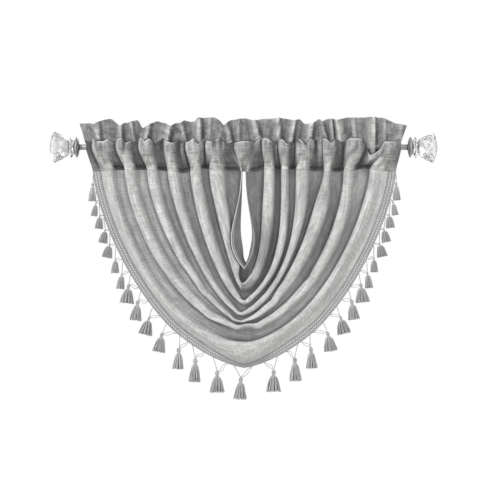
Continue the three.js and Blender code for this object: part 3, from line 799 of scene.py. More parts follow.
def add_piece(name, points, faces, materials, slot, nodes, uv=None, marks=None, smooth_faces=True):
    """A mesh piece that rides on the frame's one body and stands for its nodes, from points in mm."""
    mesh = bpy.data.meshes.new(name)
    mesh.from_pydata((np.asarray(points).reshape(-1, 3) * MM).tolist(), [], faces)
    mesh.validate()
    if uv is not None:
        corner = np.empty(len(mesh.loops), int)
        mesh.loops.foreach_get("vertex_index", corner)
        layer = mesh.uv_layers.new(name="cloth_metres")
        layer.data.foreach_set("uv", (uv.reshape(-1, 2)[corner] * MM).astype(np.float32).ravel())
    for mark, values in (marks or {}).items():
        attribute = mesh.attributes.new(mark, "FLOAT", "POINT")
        attribute.data.foreach_set("value", np.asarray(values, np.float32).ravel())
    mesh.polygons.foreach_set("use_smooth", [smooth_faces] * len(mesh.polygons))
    for material in materials:
        mesh.materials.append(material)
    piece = add_object(name, mesh)
    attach(piece, "root")
    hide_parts(*nodes)
    return piece


def add_sheet(name, points, uv, marks, thickness, **finish):
    """A piece that is one grid of points with an even thickness about it."""
    piece = add_piece(name, points, grid_faces(*points.shape[:2]), uv=uv, marks=marks, **finish)
    modify(piece, "thickness", "SOLIDIFY", thickness=thickness * MM, offset=0, use_rim=True)
    return piece


# The panel's shape

def sunk(along):
    """0 at the seam and 1 at a line's lowest point. Along runs from -1 at the left to 1 at the right."""
    return np.sin((1 - np.abs(along)) * math.pi / 2)


def sided(source, name, along, pick):
    """A pick from a table's left column where along is negative, and from its right one elsewhere."""
    return np.where(along < 0, pick(source["left_" + name]), pick(source["right_" + name]))


def hung_line(row, along):
    """A row of the line table, or a place between two rows, seen from the front in x and z."""
    def at_row(values):
        """Straight on the neckline's facing and smooth past its rim."""
        return np.where(row < FIRST_CREST, mix(values[0], values[FIRST_CREST], row), between(values, row))

    turn = (1 - np.abs(along)) * math.pi / 2
    narrowing = np.maximum(np.cos(turn), 0) ** (2 / sided(LINES, "wide", along, at_row))
    drop = np.sin(turn) ** (2 / sided(LINES, "deep", along, at_row))
    bow = sided(SHAPES, "bow", along, at_row) * np.sin(math.pi * drop**BOW_POWER)
    x = mix(at_row(LINES["low_x"]), sided(LINES, "x", along, at_row), narrowing)
    x = x + np.where(along < 0, -bow, bow)
    z = mix(SEAM_Z, at_row(LINES["low_z"]), drop)
    return stacked(x, z)


def across_line(line, along, shape):
    """The direction across a line, away from the neckline."""
    ahead = shape(line, np.minimum(along + ALONG_STEP, 1))
    tangent = unit(ahead - shape(line, np.maximum(along - ALONG_STEP, -1)))
    return stacked(tangent[..., 1], -tangent[..., 0])


def tucked(along):
    """1 at the hem's lowest point, where its edge curls under, and 0 up its sides."""
    return smooth(np.abs(along), TUCK_REACH, 0)


def fold_line(line, along):
    """A panel line from the neckline to the hem, seen from the front."""
    line, along = np.broadcast_arrays(line, along)
    inner = hung_line(np.minimum(line, LAST_CREST), along)
    hem_row = np.full(line.shape, float(HEM_ROW))
    hem = hung_line(hem_row, along)
    beside_tip = np.clip(np.abs(along) / TIP_REACH, 0, 1)
    hem[..., 1] += TIP_RISE * 4 * beside_tip * (1 - beside_tip)
    seen_width = BRAID_WIDTH * (1 - TUCK_NARROWING * tucked(along))[..., None]
    braid_edge = hem - seen_width * across_line(hem_row, along, hung_line)
    braid_edge[..., 1] = np.minimum(braid_edge[..., 1], SEAM_Z)
    line = line[..., None]
    falling = mix(inner, braid_edge, np.clip(line - LAST_CREST, 0, 1))
    return np.where(line > BRAID_EDGE, mix(braid_edge, hem, line - BRAID_EDGE), falling)


def leaning(along):
    """1 where folds stand over outwards and 0 where inwards: to the left on both sides, up at the bottom."""
    return smooth(along, *LEAN_LIMITS)


def pleat(place, lean, width):
    """The shift across and the rise of folds with a crest at each whole place, narrow or broad by width."""
    own = place - np.round(place)
    step = (own + 0.5) * PLEAT_STEPS
    across = mix(between(PLEAT["across"], step), -between(PLEAT["across"], PLEAT_STEPS - step), lean)
    across = across * mix(width, 1.0, smooth(np.abs(across), *PLEAT_EDGES))
    rise = mix(between(PLEAT["rise"], step), between(PLEAT["rise"], PLEAT_STEPS - step), lean)
    return across - own, rise


def wave(line, along):
    """The shift across lines, and the rise: 1 on a crest, -1 in a valley and level under the braid."""
    nearest = np.clip(np.round(line), 0, HEM_ROW).astype(int)
    at_seam = sided(SHAPES, "seam", along, lambda values: values[nearest])
    at_side = sided(SHAPES, "broad", along, lambda values: values[nearest])
    broad = mix(at_seam, at_side, np.where(line < RIM_LINES, 1.0, smooth(sunk(along), *BROAD_DOWN)))
    width = broad * mix(LIP_SHARE, 1.0, smooth(np.abs(along), 0, LIP_REACH))
    shift, ridges = pleat(line, leaning(along), width)
    lap = smooth(sunk(along), *LAP_DOWN) * (along < 0) * (np.abs(line - LAP_LINE) < LAP_REACH)
    over = np.clip(np.cos(TURN * (line - LAP_LINE)), 0, 1) ** LAP_POWER
    folded = (line > FIRST_CREST) & (line < LAST_CREST)
    hem = 1 - HEM_FALL * smooth(line, LAST_CREST, BRAID_EDGE)
    rise = np.where(line < FIRST_CREST, -np.cos(math.pi * line), np.where(folded, ridges, hem))
    return np.where(folded, shift - LAP_WIDTH * lap * over, 0.0), rise


def fold_depth(line, along):
    """How far crests stand forward."""
    row = np.minimum(line, HEM_ROW)
    down = sunk(along)
    side = between(SHAPES["side_depth"], row)
    upper = mix(np.minimum(SEAM_DEPTH, side), side, smooth(down, 0, HALF_DOWN))
    return mix(upper, between(SHAPES["low_depth"], row), smooth(down, HALF_DOWN, 1))


def rim_fold(line, along):
    """1 on the turned edge that shows behind the neckline's rim on the left."""
    return bell(line, RIM_FOLD_LINE, RIM_REACH) * smooth(sunk(along), *RIM_FOLD_DOWN) * (along < 0)


def small_marks(line, along, x, z):
    """The shift outwards and forwards that dents, valley creases and ripples give."""
    down = sunk(along)
    free = smooth(down, *FREE_DOWN) * smooth(line, *FREE_LINES)
    outward = np.zeros_like(x)
    forward = RIM_FOLD_HEIGHT * rim_fold(line, along)
    for dent in rows_of(DENTS):
        gap = np.hypot(x - dent["x"], z - dent["z"])
        weight = bell(gap, 0, dent["reach"]) * bell(line, dent["line"], DENT_LINES)
        outward += weight * dent["outward"]
        forward += weight * dent["forward"]
    for crease in rows_of(CREASES):
        height = sided(crease, "height", along, float)
        ridge = bell(line, crease["line"], crease["half_width"])
        forward += ridge * height * free * (1 - CREASE_FADE * smooth(down, *CREASE_FADE_DOWN))
    for ripple in rows_of(RIPPLES):
        turn = ripple["each_line"] * line + ripple["each_length"] * along
        forward += ripple["height"] * np.sin(TURN * turn + ripple["phase"]) * free
    return outward, forward


def seam_rise(x):
    return softened(x, SEAM_WAVE["x"], SEAM_WAVE["rise"], SEAM_WAVE_ROUNDING)


def cloth(line, along):
    """Points on the middle of the panel's cloth."""
    line, along = np.broadcast_arrays(np.asarray(line, float), np.asarray(along, float))
    shift, rise = wave(line, along)
    place = line + shift
    front = fold_line(place, along)
    outward, forward = small_marks(line, along, front[..., 0], front[..., 1])
    flat = front + across_line(place, along, fold_line) * outward[..., None]
    belly = between(LINES["low_y"], np.minimum(place, HEM_ROW)) * sunk(along) ** 2
    curl = mix(*TUCK_DEPTHS, np.clip(line - BRAID_EDGE, 0, 1))
    curl = curl * smooth(line, LAST_CREST, BRAID_EDGE) * tucked(along)
    y = belly - fold_depth(place, along) * rise - forward + curl
    z = flat[..., 1] + seam_rise(flat[..., 0]) * smooth(sunk(along), *SEAM_WAVE_DOWN)
    return stacked(flat[..., 0], y, z)


def cloth_normal(line, along):
    """The panel's direction towards the viewer."""
    step = NORMAL_STEP
    across = cloth(np.minimum(line + step, HEM), along) - cloth(np.maximum(line - step, 0), along)
    onward = cloth(line, np.minimum(along + step, 1)) - cloth(line, np.maximum(along - step, -1))
    return unit(np.cross(across, onward))


def in_zone(places, share=1.0, side=None, **limits):
    """How far each place lies in a zone, from 0 to its share."""
    inside = share if side is None else share * (places["side"] == side)
    for measure, ends in limits.items():
        inside = inside * smooth(places[measure], *ends)
    return inside


def panel_marks(lines, along, points):
    """How much painted shade and painted highlight each place of the panel takes.
    Panel_shade says what they are.
    """
    left = along < 0
    side = np.where(left, LEFT, RIGHT)
    depth = -points[..., 2]
    places = dict(line=lines, along=along, off=np.abs(along), down=sunk(along), depth=depth, side=side)
    zone = {name: in_zone(places, **limits) for name, limits in ZONES.items()}
    folded = (lines > FIRST_CREST) & (lines < LAST_CREST)
    # Valley and inner set the painted shade in the folds' valleys
    valley = (1 - wave(*np.broadcast_arrays(lines, along))[1]) / 2 * zone["folds"]
    right_valley = mix(RIGHT_VALLEYS["inner"], RIGHT_VALLEYS["outer"], zone["right_outer"])
    right_valley = mix(right_valley, RIGHT_VALLEYS["low"], zone["right_low"]) * zone["right_folds"]
    outer_valley = highest(zone["low_left"], zone["low_right"], zone["right_last"]) * folded
    inner = highest(zone["near_neck"], zone["bottom"], right_valley, outer_valley)
    inner = inner * (1 - zone["upper_left"]) * (1 - zone["middle_left"])
    # Rim is a painted highlight on the neckline's rolled edges; facing is painted shade on the turned-back
    # facing and beside the rim
    shows = np.where(left, 1.0, zone["right_rim"])
    low_rim = bell(lines, **LOW_RIM) * zone["low_rim"]
    second_rim = RIM_SHARE * highest(rim_fold(lines, along), low_rim)
    rim = highest(bell(lines, FIRST_CREST, RIM_REACH) * shows, second_rim)
    past_rim = mix(1.0, SHOWN_RIM_SHARE, shows) * zone["past_rim"]
    facing = highest(zone["facing"], past_rim, (1 - shows) * zone["hidden_rim"])
    # Under is painted shadow at the foot of each fold's overhanging edge, below the neckline and in its pits
    own = lines - np.round(lines)
    under = mix(bell(own, -UNDER_PLACE, UNDER_REACH), bell(own, UNDER_PLACE, UNDER_REACH), leaning(along))
    under = under * folded * (1 - zone["outer_left"])
    under = highest(under, zone["below_neck"], zone["left_pit"], zone["right_pit"])
    # The last mark is painted shade: down the second fold right of the neckline, low by the hem and on the
    # right near the seam
    dim = np.interp(depth, RIGHT_DIM["depth"], RIGHT_DIM["share"]) * zone["second_right"]
    dim_shade = highest(zone["low_hem"], zone["right_seam"], dim * (1 - low_rim))
    return {"valley": valley, "inner": inner, "rim": rim, "facing": facing, "under": under, "dim_shade": dim_shade}


def make_panel(materials):
    runs = [np.linspace(r["first"], r["last"], int(r["steps"]), endpoint=False) for r in rows_of(STATIONS)]
    lines = np.append(np.concatenate(runs), HEM)[None, :]
    along = np.linspace(-1, 1, ROWS_ALONG + 1)[:, None]
    points = cloth(lines, along)
    uv = stacked(lines * CLOTH_PER_LINE, along * CLOTH_PER_SIDE)
    marks = panel_marks(lines, along, points)
    finish = dict(materials=materials, slot="cloth", nodes=["panel"])
    return add_sheet("panel_cloth", points, uv, marks, CLOTH_THICKNESS, **finish)


# The heading's shape

def pocket_ridges(x):
    """How far the pocket's cloth stands forward and leans left, and where its ridges take painted shade at
    their left feet and a painted highlight at their left edges.
    """
    forward, lean, foot, edge = np.zeros((4, *x.shape))
    for left, right, depth in zip(*POCKET_RIDGES.values()):
        share = (x - left) / (right - left)
        full = depth / RIDGE_FULL_DEPTH
        forward = np.maximum(forward, depth * softened(share, RIDGE["share"], RIDGE["rise"], RIDGE_ROUNDING))
        lean = lean - RIDGE_LEAN * depth * bell(share, 0, RIDGE_LEAN_REACH)
        foot = np.maximum(foot, bell(share, **RIDGE_FOOT) * full)
        edge = np.maximum(edge, bell(share, **RIDGE_EDGE) * full)
    return forward, lean, foot, edge


def ruffle_forward(x, up):
    """How far the ruffle stands forward, steep after each fold. Up is 0 at its foot and 1 at its edge."""
    folds = RUFFLE_FOLDS
    depth = folds["depth"]
    slant = folds["slant"] * (1 - up)
    front = folds["front_x"] + slant
    knots = stacked(folds["back_x"] + slant, front, front + RUFFLE_FALL).ravel()
    heights = stacked(-depth, depth, -RUFFLE_BACK * depth).ravel()
    return RUFFLE_DEPTH * softened(x, knots, heights, RUFFLE_ROUNDING)


def heading_levels(place):
    """The heading's section at each place, from the seam up the front, over the edge and down the back."""
    value = {name: between(values, place) for name, values in GATHERS.items()}
    line = np.clip(np.abs(value["line"]), 0, HEM)
    seam_x, seam_y, seam_z = np.moveaxis(cloth(line, np.where(value["line"] < 0, -1.0, 1.0)), -1, 0)
    rod_x = value["rod_x"]
    top_x = value["top_x"]
    forward, lean, foot, ridge_edge = pocket_ridges(rod_x)
    front_rod = -(ROD_RADIUS + ROD_CLEARANCE) - forward
    back_rod = ROD_RADIUS + ROD_CLEARANCE + BACK_DEPTH * (1 - forward / forward.max())
    pocket_x = rod_x + lean
    low_x = mix(seam_x, pocket_x, LOW_LEVEL["x"])
    foot_x = mix(rod_x, top_x, FOOT_SHARE)
    rise_x = mix(foot_x, top_x, RISE_SHARE)
    middle_x = mix(foot_x, top_x, 0.5)
    stitch_z = softened(foot_x, STITCHING["x"], STITCHING["z"], STITCH_ROUNDING)
    low_z = np.minimum(POCKET_LOW_Z, stitch_z - LOW_BELOW_STITCH)
    rod_z = np.minimum(POCKET_ROD_Z, stitch_z - ROD_BELOW_STITCH)
    top_z = softened(top_x, TOP_EDGE["x"], TOP_EDGE["z"], TOP_ROUNDING)
    stitch = -STITCH_SHARE * ruffle_forward(foot_x, 0.0)
    rising = mix(stitch, -ruffle_forward(rise_x, RISE_SHARE), RISE_DEPTH)
    middle = -MIDDLE_DEPTH * ruffle_forward(middle_x, 0.5)
    ruffle = -ruffle_forward(top_x, 1.0)

    under_x = mix(seam_x, low_x, UNDER_LEVEL["x"])
    under_z = mix(seam_z, low_z, UNDER_LEVEL["z"])
    lip_x = mix(pocket_x, foot_x, LIP_LEVEL["x"])

    def layer(way, rod_y):
        """The levels of the front layer, where way is -1, or of the back one, from the seam up."""
        gap = way * LAYER_HALF_GAP
        return [
            (seam_x, seam_y + way * SEAM_HALF_GAP, seam_z + SEAM_GAP),
            (under_x, mix(seam_y, rod_y, UNDER_LEVEL["y"]) + gap, under_z),
            (low_x, mix(seam_y, rod_y, LOW_LEVEL["y"]) + gap, low_z),
            (pocket_x, rod_y, rod_z),
            (pocket_x, mix(rod_y, stitch, SHOULDER_LEVEL["y"]), stitch_z + SHOULDER_LEVEL["z"]),
            (lip_x, mix(rod_y, stitch, LIP_LEVEL["y"]) + gap, stitch_z + LIP_LEVEL["z"]),
            (foot_x, stitch + gap, stitch_z),
            (rise_x, rising + gap, stitch_z + RISE_LEVEL_Z),
            (middle_x, middle + gap, (stitch_z + top_z) / 2),
            (top_x, ruffle + gap, top_z + EDGE_LEVEL_Z),
        ]

    levels = layer(-1, front_rod) + [(top_x, ruffle, top_z)] + layer(1, back_rod)[::-1]
    return np.moveaxis(np.array(levels), 1, -1), stitch_z, foot, ridge_edge


def crease_heading(y, z, place, above, front):
    """Moves the heading's cloth by puckers at stitching and seam, slanting drags and fine wrinkles."""
    off_stitch = np.abs(above)
    over_seam = z - SEAM_Z
    near_stitch = np.exp(-off_stitch / STITCH_PUCKERS["reach"])
    near_stitch = near_stitch * smooth(off_stitch, 0, STITCH_PUCKERS["clear"])
    near_seam = np.exp(-np.abs(over_seam - SEAM_PUCKERS["clear"]) / SEAM_PUCKERS["reach"])
    near_seam = near_seam * smooth(over_seam, 0, SEAM_PUCKERS["clear"])
    for row in rows_of(PUCKERS):
        wander = row["wander"] * np.sin(row["wander_rate"] * place)
        pucker = np.sin(TURN * (row["each_gather"] * place + wander + row["phase"]))
        y -= pucker * (row["stitch_height"] * near_stitch + row["seam_height"] * near_seam)
    drag_height = DRAG_HEIGHT * smooth(over_seam, 0, DRAG_RISE) * smooth(off_stitch, *DRAG_CLEAR)
    for row in rows_of(DRAGS):
        y -= drag_height * np.sin(TURN * (z / row["pitch"] + row["each_gather"] * place + row["phase"]))
    wander = WRINKLE_WANDER["height"] * np.sin(WRINKLE_WANDER["rate"] * place)
    wrinkle = np.sin(TURN * z / WRINKLE_PITCH + wander + WRINKLE_WANDER["each_gather"] * place)
    y -= WRINKLE_HEIGHT * wrinkle * smooth(over_seam, 0, WRINKLE_FOOT) * smooth(z, *WRINKLE_TOP) * front


def clear_of_rod(y, z, front):
    """Y with the cloth kept off the rod, in front of it or behind."""
    clear = ROD_RADIUS + HEADING_THICKNESS
    ahead = -np.sqrt(np.clip(clear**2 - z**2, 0, None))
    kept = np.where(front, np.minimum(y, ahead), np.maximum(y, -ahead))
    return np.where(np.abs(z) < clear, kept, y)


def band_height(x, place):
    """The height of the middle of the band of painted shade."""
    waves = [row["height"] * np.sin(place * row["rate"] + row["phase"]) for row in rows_of(BAND_WAVES)]
    return BAND_Z + seam_rise(x) + sum(waves)


def make_heading(materials):
    gathers = len(GATHERS["line"]) - 1
    place = np.linspace(0, gathers, gathers * COLUMNS_PER_GATHER + 1)
    levels, stitch_z, foot, ridge_edge = heading_levels(place)
    height = np.linspace(0, len(levels) - 1, (len(levels) - 1) * ROWS_PER_LEVEL + 1)
    points = between(levels, height)
    x, y, z = np.moveaxis(points, -1, 0)
    above = z - stitch_z
    front = (np.arange(len(height)) < len(height) / 2)[:, None]
    # Valley is how deep each place lies in the folds, for painted shade
    low = y.min(axis=1, keepdims=True)
    valley = (y - low) / (y.max(axis=1, keepdims=True) - low)
    crease_heading(y, z, place, above, front)
    # Pinch is painted shade: in the hollows, at the stitching's groove, in the pocket and beside the
    # ruffle's folds
    pinch = np.zeros_like(z)
    for centre, half_width, foot_z, depth in zip(*HOLLOWS.values()):
        reach = np.clip((z - foot_z) / (STITCH_Z - foot_z), 0, 1) * (above < 0)
        dent = reach * bell(x, centre, half_width * mix(HOLLOW_FOOT, 1.0, reach)) * front
        y += depth * dent
        pinch = np.maximum(pinch, dent * (depth > 0))
        valley = valley * (1 - HUMP_LIGHT * dent * (depth < 0))
    y[...] = clear_of_rod(y, z, front)
    # Band is painted shade across the pocket's foot, with less of it and of the valley shade over the slit
    over_slit = SLIT_SHARE * bell(x, **SLIT) * smooth(z, *SLIT_TOP) * front
    off_band = np.abs(z - band_height(x, place))
    band = smooth(off_band, BAND_HALF_HEIGHT, BAND_HALF_HEIGHT - BAND_EDGE) * (1 - over_slit)
    # Join and ruffle say where crests take a painted highlight, and ruffle sets how strong the painted
    # valley shade is; lip is a painted highlight at the lips and ridge edges
    join = smooth(z, POCKET_ROD_Z, SEAM_Z + JOIN_FOOT)
    in_pocket = smooth(-above, *POCKET_EDGE) * smooth(z, SEAM_Z, SEAM_Z + POCKET_FOOT) * front
    groove = bell(above, 0, GROOVE_REACH) * mix(*GROOVE_SHARES, smooth(stitch_z, *GROOVE_HEIGHTS))
    pinch = highest(pinch, groove, foot * in_pocket, POCKET_SHADE * in_pocket)
    lip = highest(bell(above, **LIP) * front, RIDGE_EDGE_LIGHT * ridge_edge * in_pocket)
    ruffle = smooth(above, 0, RUFFLE_FALL)
    up = np.clip(above / (z.max(axis=0) - stitch_z), 0, 1)
    # Painted shadow beside each ruffle fold
    for fold in rows_of(RUFFLE_FOLDS):
        beside = x - fold["front_x"] - fold["slant"] * (1 - up) - RUFFLE_FALL
        full = min(1.0, abs(fold["depth"]) / SHADE_FULL_DEPTH)
        shade = full * bell(beside, 0, mix(*SHADE_REACHES, up)) * mix(*SHADE_SHARES, up)
        pinch = np.maximum(pinch, shade * ruffle * front)
    valley = valley * (1 - over_slit)
    marks = {"valley": valley, "band": band, "join": join, "pinch": pinch, "lip": lip, "ruffle": ruffle}
    rise = lengths_along(points, 0).mean(axis=1)
    uv = stacked(place * CLOTH_PER_GATHER, rise[:, None])
    finish = dict(materials=materials, slot="heading_cloth", nodes=["heading"])
    return add_sheet("heading_cloth", points, uv, marks, HEADING_THICKNESS, **finish)


# The braid

def hem_run():
    """Along values at even steps of length along the hem, and the length run at each."""
    along = np.linspace(-1, 1, HEM_SAMPLES + 1)
    run = lengths_along(cloth(HEM, along), 0)
    even = np.linspace(0, run[-1], int(run[-1] / BRAID_STEP) + 1)
    return np.interp(even, run, along), even


def braid_height(run, share):
    """How far the braid stands off the cloth: two edge cords and rows of slanting stitches between them."""
    plait_share = (share - BRAID_CORD_SHARE) / (1 - 2 * BRAID_CORD_SHARE)
    column = np.clip(plait_share, 0, PLAIT_END) * PLAIT_COLUMNS
    own = np.floor(column)
    within = column - own
    slant = PLAIT_SLANT * (1 - 2 * (own % 2))
    half_turns = run / PLAIT_PITCH + slant * within + PLAIT_PHASE * own
    stitches = np.abs(np.sin(math.pi * half_turns)) ** STITCH_POWER
    furrow = np.clip(np.sin(math.pi * within), 0, 1) ** FURROW_POWER
    plait = BRAID_BODY + BRAID_RELIEF * (stitches * furrow - BRAID_LEVEL)
    edge = np.minimum(share, 1 - share) / BRAID_CORD_SHARE
    round_cord = np.sqrt(np.clip(1 - (2 * edge - 1) ** 2, 0, 1))
    twist = CORD_TWIST * np.sin(TURN * (run / CORD_PITCH + edge))
    return np.where(edge < 1, BRAID_CORD_FOOT + (BRAID_CORD + twist) * round_cord, plait)


def make_braid(materials):
    along, run = hem_run()
    share = np.linspace(0, 1, BRAID_COLUMNS + 1)
    lines = mix(float(HEM), BRAID_EDGE + BRAID_GAP, share)[None, :]
    normal = cloth_normal(np.full(along.shape, BRAID_MIDDLE), along)[:, None, :]
    middle = cloth(lines, along[:, None])
    height = CLOTH_THICKNESS / 2 + BRAID_FOOT + braid_height(run[:, None], share[None, :])
    front = middle + normal * height[..., None]
    back = middle[:, [-1, 0]] + normal * (CLOTH_THICKNESS / 2 + BRAID_BACK)
    points = np.concatenate([front, back], axis=1)
    rows, columns = points.shape[:2]
    uv = stacked(lengths_along(points, 1), run[:, None])
    height = np.concatenate([height, np.full((rows, 2), height.min())], axis=1)
    # The furrow mark is painted shade: in the low furrows, along the braid's sides and where the hem tucks
    # under
    side_shade = np.append(smooth(np.minimum(share, 1 - share), *SIDE_SHADE_SHARES), [1.0, 1.0])
    shade = highest(SIDE_SHADE * side_shade, TUCK_SHADE * tucked(along)[:, None])
    marks = {"furrow": highest(smooth(height, *FURROW_HEIGHTS), shade)}
    faces = tube_faces(rows, columns)
    return add_piece("braid_gimp", points, faces, materials, "braid_yarn", ["braid"], uv, marks)


# The tassels

def hem_at_height(side, z):
    """The hem's along value at a height, on the left where side is -1 and on the right where it is 1."""
    drop = np.clip((SEAM_Z - z) / (SEAM_Z - LINES["low_z"][HEM_ROW]), 0, 1)
    deep = LINES["left_deep" if side < 0 else "right_deep"][HEM_ROW]
    return side * (1 - math.asin(drop ** (deep / 2)) / (math.pi / 2))


def hem_at_x(x):
    """The hem's along value at a place near its lowest point."""
    low = LINES["low_x"][HEM_ROW]
    word = "left" if x < low else "right"
    share = (x - low) / (LINES[word + "_x"][HEM_ROW] - low)
    turn = math.acos(share ** (LINES[word + "_wide"][HEM_ROW] / 2))
    return math.copysign(1 - turn / (math.pi / 2), x - low)


def cord_root(along):
    """A point at the hem's edge, where a cord is sewn on."""
    away = across_line(np.array(float(HEM)), np.array(along), fold_line) * CORD_OFFSET
    return cloth(HEM, along) + np.array([away[0], 0.0, away[1]])


def tassel_plan(sizes, knot, roots, way):
    """A tassel's knot, roots, length, width and tilt. Way is 1 where its foot swings to the left."""
    tilt = way * math.atan2(sizes["lean"], sizes["length"])
    return dict(knot=knot, roots=roots, length=sizes["length"], width=sizes["width"], tilt=tilt)


def tassel_plans():
    """Every tassel's plan, from the top left round the hem to the top right."""
    plans = {LEFT: [], RIGHT: []}
    for side in plans:
        for row in rows_of(SIDE_TASSELS):
            root_z = row["root_z"] + (RIGHT_TASSEL_RISE if side == RIGHT else 0)
            root = cord_root(hem_at_height(side, root_z))
            knot = root + np.array([side * row["out"], 0, -row["drop"]])
            inner = cord_root(hem_at_height(side, knot[2] + row["rise"]))
            plans[side].append(tassel_plan(row, knot, [root, inner], -side))
    low = LOW_TASSEL
    _, lowest_y, lowest_z = cloth(HEM, 0.0)
    knot = np.array([low["knot_x"], lowest_y, lowest_z - low["drop"]])
    roots = [cord_root(hem_at_x(low["left_x"])), cord_root(hem_at_x(low["right_x"]))]
    return plans[LEFT] + [tassel_plan(low, knot, roots, 1)] + plans[RIGHT][::-1]


def upright(down):
    """A path straight down the Z axis."""
    return stacked(0.0, 0.0, -down)[None]


def tassel_body(plan, random):
    """A tassel's looped head, wound neck and skirt of strands, with its knot at the origin. Its inner
    strands and filling carry painted shade.
    """
    length = plan["length"]
    long_share = smooth(length, *SKIRT_LENGTHS)
    size = length / HEAD_LENGTH * mix(SMALL_HEAD, 1.0, long_share)
    body = Pile()
    turn = np.linspace(0, TURN, HEAD_LOOP_STEPS + 1)
    for k in range(HEAD_LOOPS):
        angle = TURN * (k + 0.5) / HEAD_LOOPS + random.normal(0, HEAD_LOOP_SWING)
        out = HEAD_LOOP_OUT * size * np.sin(turn / 2) * random.uniform(*HEAD_LOOP_OUTS)
        down = (HEAD_LOOP_TOP + HEAD_LOOP_HEIGHT * (1 - np.cos(turn / 2)) / 2) * size
        path = stacked(out * math.cos(angle), out * math.sin(angle), -down)
        body.add_tubes(path[None], HEAD_LOOP_RADIUS * size, HEAD_LOOP_SIDES)
    body.add_tubes(upright(CORE["down"] * size), CORE["radius"] * size, CORE_SIDES)
    for k in range(NECK_TURNS):
        body.add_ring((NECK_TOP + k * NECK_PITCH) * size, NECK_RADIUS * size, NECK_THREAD * size)
    top = SKIRT_TOP * size
    filling = upright(np.linspace(top, FILLING_END * length, len(FILLING_RADII)))
    body.add_tubes(filling, plan["width"] * FILLING_RADII, FILLING_SIDES, FILLING_SHADE)
    t = np.linspace(0, 1, STRAND_STEPS + 1)[None, :]
    flare = mix(*SKIRT_FLARES, long_share)
    for count, root, end, dark in zip(*SKIRT_RINGS.values()):
        strands = int(count)
        even = TURN * (np.arange(strands) + random.uniform(0, 1)) / strands
        lock = np.round(even * SKIRT_LOCKS / TURN) * TURN / SKIRT_LOCKS
        foot_angle = mix(even, lock, SKIRT_CLUMP) + random.normal(0, SKIRT_SWING, strands)
        angle = mix(even[:, None], foot_angle[:, None], t**SKIRT_CLUMP_POWER)
        reach = (end * plan["width"] - STRAND_RADIUS) * random.uniform(*SKIRT_ENDS, strands)[:, None]
        waves = t * random.uniform(*SWAY_TURNS, strands)[:, None]
        sway = SWAY * size * np.sin(TURN * waves + SWAY_SPREAD * even[:, None])
        radius = mix(root * size, reach, t**flare) + sway
        foot = length * random.uniform(*SKIRT_FEET, strands)[:, None]
        path = stacked(radius * np.cos(angle), radius * np.sin(angle), -mix(top, foot, t))
        thread = STRAND_RADIUS * length / HEAD_LENGTH * mix(*STRAND_TAPER, t)
        body.add_tubes(path, thread, STRAND_SIDES, dark)
    return body


def curve_between(start, end, bends):
    """A path from start to end, bent sideways by sines of the given half turns and heights."""
    t = np.linspace(0, 1, CORD_STEPS + 1)[:, None]
    sideways = unit(np.cross(end - start, [0.0, 1.0, 0.0]))
    bent = sum(np.sin(math.pi * half_turns * t) * height for half_turns, height in bends)
    return mix(start, end, t) + bent * sideways


def make_tassel(index, plan, materials, random):
    tassel = tassel_body(plan, random)
    tassel.place(plan["tilt"], plan["knot"])
    knot = plan["knot"] - np.array([0, 0, KNOT_DROP])
    outer, inner = plan["roots"]
    bend = random.uniform(-CORD_BEND, CORD_BEND)
    tassel.add_cord(curve_between(outer, knot, [(1, bend)]), **OUTER_CORD)
    apart = np.linalg.norm(inner - knot)
    spread = min(LOOP_SPREAD, LOOP_SPREAD_SHARE * apart)
    sag = random.uniform(*LOOP_SAGS)
    wiggle = random.uniform(-LOOP_WIGGLE, LOOP_WIGGLE) * apart
    for bends in ([(1, -spread * sag), (2, wiggle)], [(1, spread * (1 - sag)), (2, wiggle * LOWER_WIGGLE)]):
        tassel.add_cord(curve_between(knot, inner, bends), **LOOP_CORD)
    name = f"tassel_{index + 1:02d}"
    finish = dict(slot="tassel_yarn", nodes=[name], marks={"furrow": tassel.marks})
    return add_piece(name + "_yarn", tassel.points, tassel.faces, materials, **finish)


# The rod and finials

def ring_points(x, radius, angle):
    """Points round the rod's axis at each x, as rings of the given radii."""
    return stacked(x[:, None], radius[:, None] * np.cos(angle), radius[:, None] * np.sin(angle))


def facing_out(faces, way):
    """Faces of a form built along way, which is -1 or 1, turned to face outwards."""
    return faces if way > 0 else [face[::-1] for face in faces]


def lathe(profile, start, way):
    """Points and faces of a profile turned about the rod's axis, from start along way, which is -1 or 1."""
    points = ring_points(start + way * profile["along"], profile["radius"], turns(LATHE_SIDES))
    return points, facing_out(tube_faces(len(points), LATHE_SIDES), way)


def cut_knob(start, way):
    """Points and faces of the cut knob. Each ring is turned half a side from the last."""
    rings = len(KNOB_RINGS["along"])
    half_sides = (np.arange(rings) - KNOB_WIDEST_RING)[:, None] / 2
    angle = turns(KNOB_SIDES) + TURN * half_sides / KNOB_SIDES + math.pi / 2
    points = ring_points(start + way * KNOB_RINGS["along"], KNOB_RINGS["radius"], angle)
    faces = [list(range(KNOB_SIDES))[::-1]]
    for low in range(0, (rings - 1) * KNOB_SIDES, KNOB_SIDES):
        high = low + KNOB_SIDES
        for k in range(KNOB_SIDES):
            k_next = (k + 1) % KNOB_SIDES
            faces.append([low + k, low + k_next, high + k])
            faces.append([low + k_next, high + k_next, high + k])
    faces.append(list(range((rings - 1) * KNOB_SIDES, rings * KNOB_SIDES)))
    return points, facing_out(faces, way)


def paint_bands(piece, bands):
    """Bands of a turned piece take its second material."""
    for polygon in piece.data.polygons:
        if polygon.index // LATHE_SIDES in bands:
            polygon.material_index = 1


def make_rod(materials):
    points, faces = lathe(ROD_PROFILE, -ROD_HALF_LENGTH, 1)
    add_piece("rod_tube", points, faces, materials, "rod_metal", ["rod"])


